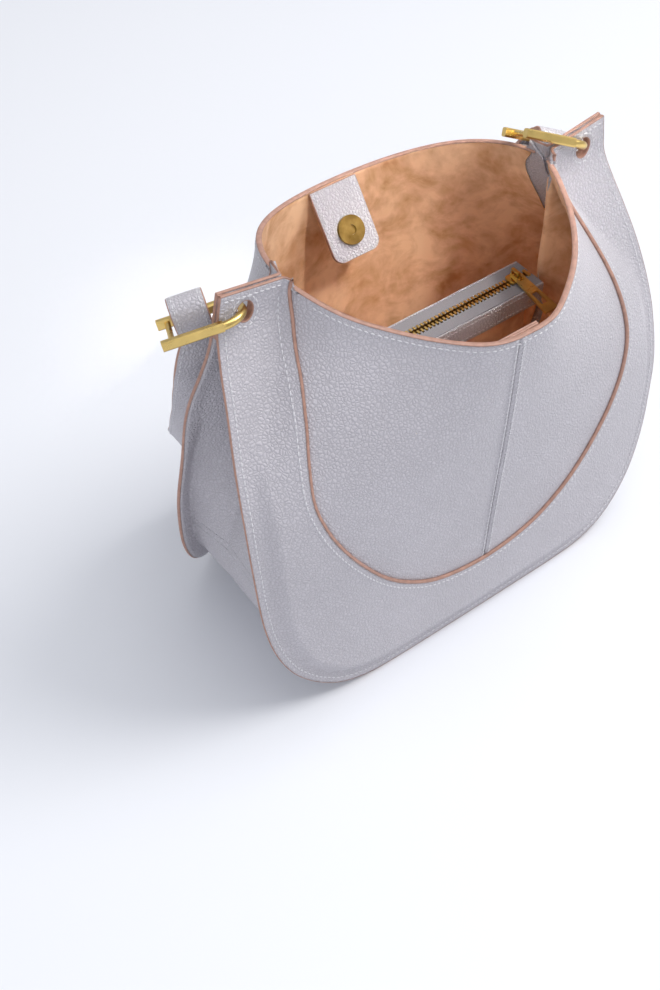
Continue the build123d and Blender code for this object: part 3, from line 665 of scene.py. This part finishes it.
def hole_ring(hand, side, grow):
    """Closed oval round a ring hole, with outward directions, in mm."""
    points, normals, outs = [], [], []
    for k in range(48):
        turn = 2 * math.pi * k / 48
        x = hand * (HOLE_X + (HOLE_HALF_WIDTH + grow) * math.cos(turn))
        z = HOLE_Z + (HOLE_HALF_HEIGHT + grow) * math.sin(turn)
        points.append(on_face(x, z, side))
        normals.append(face_normal(x, z, side))
        outs.append((on_face(hand * HOLE_X, HOLE_Z, side) - points[-1]).normalized())
    return points, normals, outs


class BuildCrescents(bpy.types.Operator):
    """Front and back crescent leathers with their painted inner edge"""
    bl_idname = "hobo_bag.crescents"
    bl_label = "Crescent leathers"

    def execute(self, context):
        thickness = context.scene.hobo_bag_sizes.leather_thickness / MM
        for side_name, side in SIDES:
            def place(u, v, side=side):
                inner, outer = CRESCENT_LINE.at(u), RIM_LINE.at(u)
                x = inner[0] + (outer[0] - inner[0]) * v
                z = inner[1] + (outer[1] - inner[1]) * v
                return on_face(*hole_place(x, z), side)

            def dropped(u, v):
                inner, outer = CRESCENT_LINE.at(u), RIM_LINE.at(u)
                return in_hole(inner[0] + (outer[0] - inner[0]) * v, inner[1] + (outer[1] - inner[1]) * v)
            crescent = grid_piece(f"{side_name}_crescent_leather", 420, 48, place,
                                  [finish_of("leather"), finish_of("edge")], "bag",
                                  outward(side), dropped=dropped)
            thicken(crescent, thickness, rim_material=1)
            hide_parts(f"{side_name}_crescent")
            path, normals, outs = [], [], []
            for k in range(301):
                u = k / 300
                x, z = CRESCENT_LINE.at(u)
                nx, nz = outside_crescent(u, -1.0)
                normal = face_normal(x, z, side)
                path.append(on_face(x, z, side) - normal * thickness / 2)
                normals.append(normal)
                towards = on_face(nx, nz, side) - on_face(x, z, side)
                outs.append(towards.normalized())
            bead_piece(f"{side_name}_crescent_edge", path, normals, outs, thickness / 2 + 0.3, 1.7,
                       finish_of("edge"), "bag")
            rings = []
            for hand, label in ((1, "right"), (-1, "left")):
                path, normals, outs = hole_ring(hand, side, 0.0)
                path = [point - normal * thickness / 2 for point, normal in zip(path, normals)]
                bead_piece(f"{side_name}_ring_hole_edge_{label}", path, normals, outs, thickness / 2 + 0.2,
                           0.6, finish_of("edge"), "bag", closed=True)
                points, normals, _ = hole_ring(hand, side, HOLE_STITCH_GAP)
                rings.append(list(zip(points + points[:1], normals + normals[:1])))
            row = []
            for k in range(12, 589):
                x, z = outside_crescent(k / 600, inset_mm() - 0.4)
                row.append((on_face(x, z, side), face_normal(x, z, side)))
            stitch_piece(f"{side_name}_crescent_stitching", [row] + rings, finish_of("thread"), "bag",
                         pitch_mm())
        return {"FINISHED"}


def panel_point(u, v, side, below):
    """Point of the inner panel, from the mouth (v 0) to under the crescent (v 1)."""
    low_x, low_z = outside_crescent(u, 8.0 * min(1.0, 12 * u, 12 * (1 - u)))
    share = 1 - 2 * u
    top_x = 98.3 * math.copysign(abs(share) ** 0.92, share)
    top_z = mouth_edge(top_x)
    x = top_x + (low_x - top_x) * v
    z = top_z + (low_z - top_z) * v
    point = on_face(x, z, side, below)
    seam = abs(x)
    dent = 0.9 * math.exp(-(seam / 0.7) ** 2) - 0.35 * math.exp(-((seam - 2.6) / 1.3) ** 2)
    return point - Vector((0, side, 0)) * dent


class BuildPanels(bpy.types.Operator):
    """Inner panels, sewn at the centre and topstitched along the mouth"""
    bl_idname = "hobo_bag.panels"
    bl_label = "Inner panels"

    def execute(self, context):
        below = context.scene.hobo_bag_sizes.leather_thickness / MM
        for side_name, side in SIDES:
            for hand, low, high in [("right", 0.0, 0.5), ("left", 0.5, 1.0)]:
                def place(u, v, low=low, high=high, side=side):
                    eased = u ** 1.25 if high > 0.9 else 1 - (1 - u) ** 1.25
                    return panel_point(low + (high - low) * eased, v, side, below)
                panel = grid_piece(f"{side_name}_panel_leather_{hand}", 110, 70, place,
                                   [finish_of("leather")], "bag", outward(side))
                thicken(panel, PANEL_THICKNESS)
                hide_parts(f"{side_name}_panel_{hand}")
            seam_rows = []
            for offset in (-SEAM_ROW_OFFSET, SEAM_ROW_OFFSET):
                row = []
                for k in range(0, 120):
                    z = SEAM_TOP - k * (SEAM_TOP - SEAM_LOW) / 119
                    row.append((on_face(offset, z, side, below - 0.6), face_normal(offset, z, side)))
                seam_rows.append(row)
            mouth_row = []
            for k in range(0, 201):
                x = MOUTH_ROW_HALF * (1 - 2 * k / 200)
                z = mouth_edge(x) - inset_mm()
                mouth_row.append((on_face(x, z, side, below), face_normal(x, z, side)))
            stitch_piece(f"{side_name}_panel_stitching", seam_rows + [mouth_row], finish_of("thread"),
                         "bag", pitch_mm())
        return {"FINISHED"}


class BuildEdges(bpy.types.Operator):
    """Painted edges of the mouth, the wings and the lower rim"""
    bl_idname = "hobo_bag.edges"
    bl_label = "Painted edges"

    def execute(self, context):
        for side_name, side in SIDES:
            path, normals, outs = [], [], []
            for k in range(161):
                x = 99.4 - 198.8 * k / 160
                z = mouth_edge(x)
                normal = face_normal(x, z, side)
                normal = (normal - Vector((0, 0, normal.z))).normalized()
                path.append(on_face(x, z, side, 3.4))
                normals.append(normal)
                outs.append(Vector((0, 0, 1)))
            bead_piece(f"{side_name}_mouth_edge", path, normals, outs, 1.75, 0.7, finish_of("edge"),
                       "bag")
            path, normals, outs = [], [], []
            for k in range(401):
                u = k / 400
                x, z = RIM_LINE.at(u)
                ix, iz = inside_rim(u, 1.0)
                normal = face_normal(x, z, side)
                path.append(on_face(x, z, side, 1.0))
                normals.append(normal)
                outs.append((on_face(x, z, side) - on_face(ix, iz, side)).normalized())
            bead_piece(f"{side_name}_rim_edge", path, normals, outs, 1.1, 0.6, finish_of("edge"), "bag")
            top = []
            for hand in (1, -1):
                path, normals, outs = [], [], []
                for k in range(41):
                    x, z = (a + (b - a) * k / 40 for a, b in zip(WING_TOP_INNER, WING_TOP_OUTER))
                    x *= hand
                    path.append(on_face(x, z, side, 1.0))
                    normals.append(Vector((0, side, 0)))
                    outs.append(Vector((-hand * 0.16, 0, 0.987)))
                label = "right" if hand > 0 else "left"
                bead_piece(f"{side_name}_wing_edge_{label}", path, normals, outs, 1.1, 0.6,
                           finish_of("edge"), "bag")
                row = []
                for k in range(31):
                    x, z = (a + (b - a) * k / 30 for a, b in zip(WING_ROW_INNER, WING_ROW_OUTER))
                    x *= hand
                    row.append((on_face(x, z, side), Vector((0, side, 0))))
                top.append(row)
            rim_row = []
            for k in range(16, 985):
                x, z = inside_rim(k / 1000, inset_mm())
                rim_row.append((on_face(x, z, side), face_normal(x, z, side)))
            stitch_piece(f"{side_name}_rim_stitching", [rim_row] + top, finish_of("thread"), "bag",
                         pitch_mm())
        return {"FINISHED"}


def fold_depth(z):
    """How far the side fold reaches in from the flange at a height."""
    return smoothed(FOLD, z) if z > 40 else 0.0


def gusset_point(u, v):
    """Point of the gusset: v runs from the front edge, over the fold, to the back edge."""
    side = -1 if v < 0.5 else 1
    reach = abs(2 * v - 1)
    flat = 0.86
    if reach > flat:
        inset = GUSSET_FLANGE * (1 - (reach - flat) / (1 - flat)) + GUSSET_CREASE
        x, z = inside_rim(u, inset)
        point = on_face(x, z, side, GUSSET_DEPTH)
    else:
        x, z = inside_rim(u, GUSSET_FLANGE + GUSSET_CREASE)
        hinge = on_face(x, z, side, GUSSET_DEPTH)
        share = 1 - reach / flat
        rounded = 1 - math.sqrt((1 - share) ** 2 + 0.004)
        hand = 1 if x > 0 else -1
        pull = fold_depth(z) * max(rounded, 0.0) * hand
        belly = 2.5 * math.sin(math.pi * share) * (1 - soft_step(60, 120, z))
        point = Vector((hinge.x - pull, hinge.y * (1 - share), hinge.z - belly * 0.4))
    return point


def lifted_gusset(u, v, lift, sign):
    """Gusset point moved square to the surface, towards the inside of the bag."""
    step = 0.004
    along = gusset_point(u + step, v) - gusset_point(u - step, v)
    around = gusset_point(u, min(v + step, 1)) - gusset_point(u, max(v - step, 0))
    return gusset_point(u, v) + along.cross(around).normalized() * lift * sign


def side_range(hand):
    """Share of the rim's length that a side gusset covers, from its top to the bottom join."""
    heights = [(u / 1000, RIM_LINE.at(u / 1000)[1]) for u in range(501)]
    top = next(u for u, z in heights if z < GUSSET_TOP)
    low = next(u for u, z in heights if z < GUSSET_JOIN)
    return (top, low) if hand > 0 else (1 - top, 1 - low)


class BuildGusset(bpy.types.Operator):
    """Side and bottom gusset with deep folds at the sides, lined with suede"""
    bl_idname = "hobo_bag.gusset"
    bl_label = "Gusset"

    def execute(self, context):
        spans = {"right": side_range(1), "left": side_range(-1)}
        spans["bottom"] = (spans["right"][1], spans["left"][1])
        middle = Vector((0, 0, 0.15))
        for label, (start, end) in spans.items():
            centre_u = (start + end) / 2
            hinge = gusset_point(centre_u, 0.5)
            test = lifted_gusset(centre_u, 0.5, 1.0, 1) - hinge
            sign = 1 if test.dot(Vector((0, 0, 150)) - hinge) > 0 else -1
            low, high = min(start, end), max(start, end)
            over = 0.004

            def outer(u, v, low=low, high=high):
                return gusset_point(low - over + (high - low + 2 * over) * u, v)

            def inner(u, v, low=low, high=high, sign=sign):
                return lifted_gusset(low - over + (high - low + 2 * over) * u, 0.075 + 0.85 * v, 2.0, sign)

            def away(centre):
                return Vector((centre.x, 0, centre.z)) - middle

            def towards_middle(centre):
                return -away(centre)
            leather = grid_piece(f"gusset_{label}_leather", 90, 64, outer, [finish_of("leather")], "bag",
                                 away)
            thicken(leather, GUSSET_THICKNESS)
            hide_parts(f"gusset_{label}")
            lining = grid_piece(f"gusset_{label}_lining", 90, 64, inner, [finish_of("suede")], "bag",
                                towards_middle)
            if label == "bottom":
                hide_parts("gusset_lining_bottom")
        return {"FINISHED"}


class BuildLining(bpy.types.Operator):
    """Suede lining of the front and back, a little loose, with upright wrinkles"""
    bl_idname = "hobo_bag.lining"
    bl_label = "Lining"

    def execute(self, context):
        for side_name, side in SIDES:
            def place(u, v, side=side):
                low_x, low_z = LINING_LINE.at(u)
                share = 1 - 2 * u
                top_x = 98.5 * math.copysign(abs(share) ** 0.9, share)
                top_z = mouth_edge(top_x) - 0.2
                x = top_x + (low_x - top_x) * v
                z = top_z + (low_z - top_z) * v
                loose = wrinkle(x, z) * min(1.0, 5 * v) * min(1.0, 8 * (1 - v))
                return on_face(x, z, side, LINING_DEPTH + max(loose, -0.6))
            lining = grid_piece(f"{side_name}_suede_lining", 240, 90, place, [finish_of("suede")], "bag",
                                outward(-side))
            thicken(lining, LINING_THICKNESS)
            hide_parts(f"{side_name}_lining")
        return {"FINISHED"}


# ---------------------------------------------------------------- closing tabs
def tab_axes(side, tilt):
    """Origin on the hinge line, direction down the tab and direction into the bag, in mm."""
    angle = math.radians(tilt)
    down = Vector((0, -side * math.sin(angle), -math.cos(angle)))
    facing = Vector((0, -side * math.cos(angle), math.sin(angle)))
    hinge = Vector((0, side * TAB_HINGE_Y, TAB_HINGE_Z))
    return hinge - down * (4.4 if side > 0 else 3.0), down, facing


def tab_outline(t, half, length, corner):
    """Closed outline of a tab, round at its free end, as (across, down)."""
    straight = length - corner
    quarter = corner * math.pi / 2
    across = 2 * half - 2 * corner
    total = 2 * straight + 2 * quarter + across
    run = t * total
    if run < straight:
        return half, run
    run -= straight
    if run < quarter:
        a = run / corner
        return half - corner + corner * math.cos(a), straight + corner * math.sin(a)
    run -= quarter
    if run < across:
        return half - corner - run, length
    run -= across
    if run < quarter:
        a = run / corner
        return corner - half - corner * math.sin(a), straight + corner * math.cos(a)
    run -= quarter
    return -half, straight - run


class BuildTabs(bpy.types.Operator):
    """Closing tabs with stitched borders, painted edges and a magnetic snap"""
    bl_idname = "hobo_bag.tabs"
    bl_label = "Closing tabs"

    def execute(self, context):
        across = Vector((1, 0, 0))
        for side_name, side, tilt in [("back", 1, 38.0), ("front", -1, 10.0)]:
            origin, down, facing = tab_axes(side, tilt)
            body = f"{side_name}_tab"
            for layer, level, towards in [("outer", 0.1, -1), ("inner", 2.7, 1)]:
                def place(u, v, level=level):
                    edge_x, edge_d = tab_outline(u, TAB_HALF, TAB_LENGTH, TAB_CORNER)
                    spine_d = min(edge_d, 40.0)
                    px, pd = edge_x * v, spine_d + (edge_d - spine_d) * v
                    crown = 0.25 * (1 - v ** 4)
                    raised = level + crown * (1 if level > 1 else -1)
                    return origin + across * px + down * pd + facing * raised
                # The tab leather is the darker copy of the leather: painted shade.
                piece = grid_piece(f"{side_name}_tab_leather_{layer}", 80, 12, place,
                                   [finish_of("painted shade leather")], body,
                                   lambda c, towards=towards: facing * towards)
                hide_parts(f"{side_name}_tab_{layer}")
            path, normals, outs = [], [], []
            for k in range(121):
                a = tab_outline(k / 120, TAB_HALF, TAB_LENGTH, TAB_CORNER)
                b = tab_outline(k / 120, TAB_HALF - 1, TAB_LENGTH - 1, TAB_CORNER - 1)
                path.append(origin + across * a[0] + down * a[1] + facing * 1.4)
                normals.append(facing)
                outs.append((across * (a[0] - b[0]) + down * (a[1] - b[1])).normalized())
            bead_piece(f"{side_name}_tab_edge", path, normals, outs, 1.4, 0.4, finish_of("edge"), body)
            for layer, level in [("outer", 0.75), ("inner", 2.1)]:
                top = [origin + across * (TAB_HALF * (1 - 2 * k / 30)) + facing * level for k in range(31)]
                bead_piece(f"{side_name}_tab_top_edge_{layer}", top, [facing] * 31, [-down] * 31, 0.72, 0.5,
                           finish_of("edge"), body)
            rows = []
            for level, sign in [(2.75, 1), (0.05, -1)]:
                row = []
                for k in range(101):
                    a = tab_outline(k / 100, TAB_HALF - TAB_STITCH_INSET, TAB_LENGTH - TAB_STITCH_INSET,
                                    TAB_CORNER - 2.2)
                    row.append((origin + across * a[0] + down * a[1] + facing * level, facing * sign))
                rows.append(row)
            stitch_piece(f"{side_name}_tab_stitching", rows, finish_of("thread"), body,
                         pitch_mm() * 0.85, 2.4, 0.36)
        return {"FINISHED"}


# ---------------------------------------------------------------- centre pouch
class BuildPouch(bpy.types.Operator):
    """Zipped centre pouch: suede walls, leather bands and stitching"""
    bl_idname = "hobo_bag.pouch"
    bl_label = "Centre pouch"

    def execute(self, context):
        half, top, bottom, corner = POUCH_HALF, POUCH_TOP, POUCH_BOTTOM, POUCH_CORNER
        for side_name, side in SIDES:
            def wall(u, v, side=side):
                x = half * (2 * u - 1)
                low = bottom
                edge = abs(x) - (half - corner)
                if edge > 0:
                    low = bottom + corner - math.sqrt(max(corner ** 2 - edge ** 2, 0.0))
                z = top - 1.0 + (low - top + 1.0) * v
                swell = math.sin(math.pi * min(v * 0.9 + 0.1, 1.0)) * (1 - (x / half) ** 6)
                close = 1 - soft_step(0.75, 1.0, v)
                return (x, side * (0.3 + 9.5 * max(close, 0.02) * (1 - (x / half) ** 10)
                                   + 2.0 * swell + 0.6 * wrinkle(x, z) * swell), z)
            piece = grid_piece(f"pouch_{side_name}_suede", 90, 50, wall, [finish_of("suede")], "bag",
                               outward(side))
            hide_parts(f"pouch_{side_name}")

            def band(u, v, side=side):
                x = half * (2 * u - 1)
                around = 2 * math.pi * v
                height = 8.4 * math.copysign(abs(math.cos(around)) ** 0.35, math.cos(around))
                width = 0.95 * math.copysign(abs(math.sin(around)) ** 0.6, math.sin(around))
                return (x, side * (12.9 + width + 0.35 * noise.noise(Vector((x * 0.05, side, 0)))),
                        190.6 + height + 0.4 * noise.noise(Vector((x * 0.03, side, 5))))
            # The pouch band is the darker copy of the leather: painted shade.
            piece = grid_piece(f"pouch_{side_name}_band", 96, 28, band, [finish_of("painted shade leather")],
                               "bag")
            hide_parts(f"pouch_band_{side_name}")
            rows = []
            for level in POUCH_ROWS:
                rows.append([(Vector((half * 0.98 * (2 * k / 120 - 1), side * 13.85, level)),
                              Vector((0, side, 0))) for k in range(121)])
            stitch_piece(f"pouch_{side_name}_stitching", rows, finish_of("thread"), "bag",
                         pitch_mm() * 0.85, 2.5, 0.36)
        return {"FINISHED"}


# ---------------------------------------------------------------- strap
def ring_axes(hand, direction, hint):
    """Hole centre, direction along the bars and axis of a ring, in mm."""
    along = Vector(direction).normalized()
    axis = Vector(hint)
    axis = (axis - along * axis.dot(along)).normalized()
    return Vector((hand * HOLE_X, 0, HOLE_Z)), along, axis


def loop_stations(hole, along, axis, reach, drop_hint, rise, lean):
    """Points of the strap, from its tail, round a ring's far bar and down again."""
    centre = hole + along * reach + axis * RING_HALF_GAP
    down = Vector(drop_hint)
    down = (down - along * down.dot(along)).normalized()
    across = (-down).cross(along)
    top = rise - FOLD_RISE_TO_ROUND
    local = [(-1.9, -25.0), (-2.4, -20.0), (-4.2, -12.0), (-6.0, -4.0)]
    local += [(-lean, 0.0), (-lean, top * 0.6)]
    for k in range(9):
        angle = math.pi - math.pi * k / 8
        local.append((lean * math.cos(angle), top + lean * math.sin(angle)))
    local += [(lean, top * 0.6), (lean, 0.0), (6.0, -4.0), (4.2, -12.0), (2.4, -20.0), (1.9, -25.0)]
    return [centre + across * a - down * b for a, b in local]


STRAP_RUN = [
    ((-146, 25, 235), (-0.85, 0.4, -0.1)), ((-145, 34, 205), (-0.6, 0.8, 0.0)),
    ((-144, 46, 170), (-0.25, 0.95, 0.1)), ((-137, 68, 132), (0.0, 1.0, 0.1)),
    ((-118, 99, 90), (0.0, 1.0, 0.0)), ((-84, 104, 62), (0.0, 1.0, 0.0)),
    ((-42, 106, 46), (0.0, 1.0, 0.0)), ((0, 107, 41), (0.0, 1.0, 0.0)),
    ((42, 106, 46), (0.0, 1.0, 0.0)), ((84, 104, 64), (0.0, 1.0, 0.0)),
    ((114, 101, 94), (0.0, 1.0, 0.0)), ((134, 96, 135), (0.0, 1.0, 0.0)),
    ((138, 93, 165), (0.35, 0.93, 0.0)), ((137, 88, 193), (0.7, 0.7, 0.0)),
    ((130, 78, 222), (0.9, 0.3, 0.0)), ((117, 56, 243), (0.9, -0.3, -0.25)),
]


def strap_path():
    """Run of the strap from tail to tail, as (point, width direction)."""
    hole, along, axis = ring_axes(-1, (-0.915, 0.355, -0.19), (0.395, 0.884, -0.25))
    left = loop_stations(hole, along, axis, 28.0, (0, 0.3, -1), 13.0, 6.5)
    left_width = along
    hole, along, axis = ring_axes(1, (-0.864, 0.351, 0.361), (0.142, 0.857, -0.495))
    right = loop_stations(hole, along, axis, 16.0, (0, 0.85, -1), 6.4, 5.2)
    right_width = -along
    points = [(p, left_width) for p in left]
    points += [(Vector(p), Vector(w)) for p, w in STRAP_RUN]
    points += [(p, right_width) for p in reversed(right)]
    return points


class BuildStrap(bpy.types.Operator):
    """Flat shoulder strap of two leathers, folded round the far bar of each ring"""
    bl_idname = "hobo_bag.strap"
    bl_label = "Strap"

    def execute(self, context):
        raw = strap_path()
        line = Outline([tuple(p) for p, _ in raw], steps=700)
        marks = [0.0]
        for (a, _), (b, _) in zip(raw, raw[1:]):
            marks.append(marks[-1] + (b - a).length)
        widths = [w.normalized() for _, w in raw]

        def width_at(u):
            run = u * marks[-1]
            for k in range(len(marks) - 1):
                if run <= marks[k + 1] or k == len(marks) - 2:
                    t = min(max((run - marks[k]) / max(marks[k + 1] - marks[k], 1e-9), 0), 1)
                    return widths[k].lerp(widths[k + 1], t * t * (3 - 2 * t))

        count = STRAP_STEPS
        stations = []
        for k in range(count + 1):
            u = k / count
            point = Vector(line.at(u))
            tangent = (Vector(line.at(min(u + 0.003, 1))) - Vector(line.at(max(u - 0.003, 0)))).normalized()
            width = width_at(u)
            width = (width - tangent * width.dot(tangent)).normalized()
            stations.append((point, width, tangent.cross(width).normalized()))
        half_w, half_t = STRAP_HALF_WIDTH, STRAP_HALF_THICKNESS
        profile = []
        for k in range(STRAP_SIDES):
            a = 2 * math.pi * k / STRAP_SIDES
            c, s = math.cos(a), math.sin(a)
            profile.append((half_w * math.copysign(abs(c) ** 0.14, c),
                            half_t * math.copysign(abs(s) ** 0.5, s)))

        def place(u, v):
            point, width, face = stations[round(u * count)]
            a, b = profile[round(v * STRAP_SIDES) % STRAP_SIDES]
            return point + width * a + face * b

        def painted(u, v):
            return abs(profile[round(v * STRAP_SIDES) % STRAP_SIDES][0]) > half_w - 0.9

        strap = grid_piece("shoulder_strap", count, STRAP_SIDES, place,
                           [finish_of("leather"), finish_of("edge")], "strap",
                           band=painted)
        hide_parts("strap_outer", "strap_lining", "strap_fold_left", "strap_fold_right")
        rows = []
        for sign_w in (-1, 1):
            for sign_t in (-1, 1):
                rows.append([(p + w * (sign_w * STRAP_STITCH_OFFSET) + f * (sign_t * half_t), f * sign_t)
                             for p, w, f in stations])
        stitch_piece("strap_stitching", rows, finish_of("thread"), "strap",
                     pitch_mm(), 2.8, 0.38)
        return {"FINISHED"}


# ---------------------------------------------------------------- metal
class FinishMetal(bpy.types.Operator):
    """Rings, zip and snaps in their metal finishes, with softened corners"""
    bl_idname = "hobo_bag.metal"
    bl_label = "Metal parts"

    def execute(self, context):
        gold = ["ring_left", "ring_right", "zip_slider", "zip_pull", "zip_teeth_front",
                "zip_teeth_back", "zip_end_stops"]
        brass = ["back_snap_half", "front_snap_half", "back_snap_washer", "front_snap_washer"]
        tape = ["zip_tape_front", "zip_tape_back"]
        for names, finish in [(gold, "gold"), (brass, "brass"), (tape, "tape"),
                              (["wing_stay_left", "wing_stay_right"], "edge")]:
            for name in names:
                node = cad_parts[name]
                node.data.materials.clear()
                node.data.materials.append(finish_of(finish))
                if finish in ("gold", "brass") and "teeth" not in name and "washer" not in name:
                    soften = node.modifiers.new("softened corners", "BEVEL")
                    soften.width = 0.00035
                    soften.segments = 2
                    soften.limit_method = "ANGLE"
                    soften.angle_limit = math.radians(35)
        return {"FINISHED"}


class BuildStage(bpy.types.Operator):
    """Pale floor, soft studio light and the camera"""
    bl_idname = "hobo_bag.stage"
    bl_label = "Stage"

    def execute(self, context):
        scene = context.scene
        bm = bmesh.new()
        bmesh.ops.create_grid(bm, x_segments=2, y_segments=2, size=4.0)
        data = bpy.data.meshes.new("floor")
        bm.to_mesh(data)
        bm.free()
        floor = new_object("floor", data, [finish_of("floor")], None)
        floor.location.z = -0.0008
        world = bpy.data.worlds.new("studio")
        world.use_nodes = True
        background = world.node_tree.nodes["Background"]
        background.inputs["Color"].default_value = (0.93, 0.95, 1.0, 1)
        background.inputs["Strength"].default_value = 0.54
        scene.world = world
        for name, place, aim, size, power, colour, spread_angle in [
            ("key light", (1.3, -0.5, 1.9), (0, 0, 0.1), 1.3, 31.0, (1.0, 0.985, 0.96), 180.0),
            ("fill light", (-1.5, -1.2, 1.3), (0, 0, 0.1), 1.8, 8.5, (0.92, 0.95, 1.0), 180.0),
            ("top light", (0.25, -0.1, 2.3), (0, 0, 0.1), 1.6, 12.5, (1.0, 1.0, 1.0), 180.0),
            ("mouth light", (0.12, -0.42, 0.95), (0.045, 0.065, 0.215), 0.12, 0.05, (1.0, 0.96, 0.9), 14.0),
        ]:
            lamp = bpy.data.lights.new(name, "AREA")
            lamp.shape = "DISK"
            lamp.size = size
            lamp.energy = power
            lamp.color = colour
            lamp.spread = math.radians(spread_angle)
            holder = bpy.data.objects.new(name, lamp)
            holder.location = place
            direction = Vector(aim) - Vector(place)
            holder.rotation_euler = direction.to_track_quat("-Z", "Y").to_euler()
            scene.collection.objects.link(holder)
        camera_data = bpy.data.cameras.new("camera")
        camera_data.sensor_fit = "VERTICAL"
        camera_data.sensor_height = 36.0
        camera_data.lens = 50.545
        camera_data.clip_start = 0.01
        camera = bpy.data.objects.new("camera", camera_data)
        camera.location = (-0.431, -0.489, 0.790)
        camera.rotation_euler = Vector((0.3923, 0.5258, -0.7547)).to_track_quat("-Z", "Y").to_euler()
        scene.collection.objects.link(camera)
        scene.camera = camera
        scene.view_settings.view_transform = "Standard"
        scene.view_settings.look = "None"
        return {"FINISHED"}


OPERATORS = [BuildCrescents, BuildPanels, BuildEdges, BuildGusset, BuildLining, BuildTabs, BuildPouch,
             BuildStrap, FinishMetal, BuildStage]


class HoboBagPanel(bpy.types.Panel):
    """Settings and pieces of the hobo bag"""
    bl_idname = "VIEW3D_PT_hobo_bag"
    bl_label = "Hobo bag"
    bl_space_type = "VIEW_3D"
    bl_region_type = "UI"
    bl_category = "Hobo bag"

    def draw(self, context):
        looks = context.scene.hobo_bag_looks
        sizes = context.scene.hobo_bag_sizes
        for key in looks.__annotations__:
            self.layout.prop(looks, key)
        for key in sizes.__annotations__:
            self.layout.prop(sizes, key)
        for operator in OPERATORS:
            self.layout.operator(operator.bl_idname)


def register():
    """Registers every class and hangs the settings on the scene."""
    for cls in [HoboBagLooks, HoboBagSizes, *OPERATORS, HoboBagPanel]:
        bpy.utils.register_class(cls)
    bpy.types.Scene.hobo_bag_looks = PointerProperty(type=HoboBagLooks)
    bpy.types.Scene.hobo_bag_sizes = PointerProperty(type=HoboBagSizes)


def unregister():
    """Takes the settings and classes away again."""
    del bpy.types.Scene.hobo_bag_looks
    del bpy.types.Scene.hobo_bag_sizes
    for cls in reversed([HoboBagLooks, HoboBagSizes, *OPERATORS, HoboBagPanel]):
        bpy.utils.unregister_class(cls)


def main():
    """Builds every piece in order."""
    register()
    for operator in OPERATORS:
        group, name = operator.bl_idname.split(".")
        getattr(getattr(bpy.ops, group), name)()


if __name__ == "__main__":
    main()
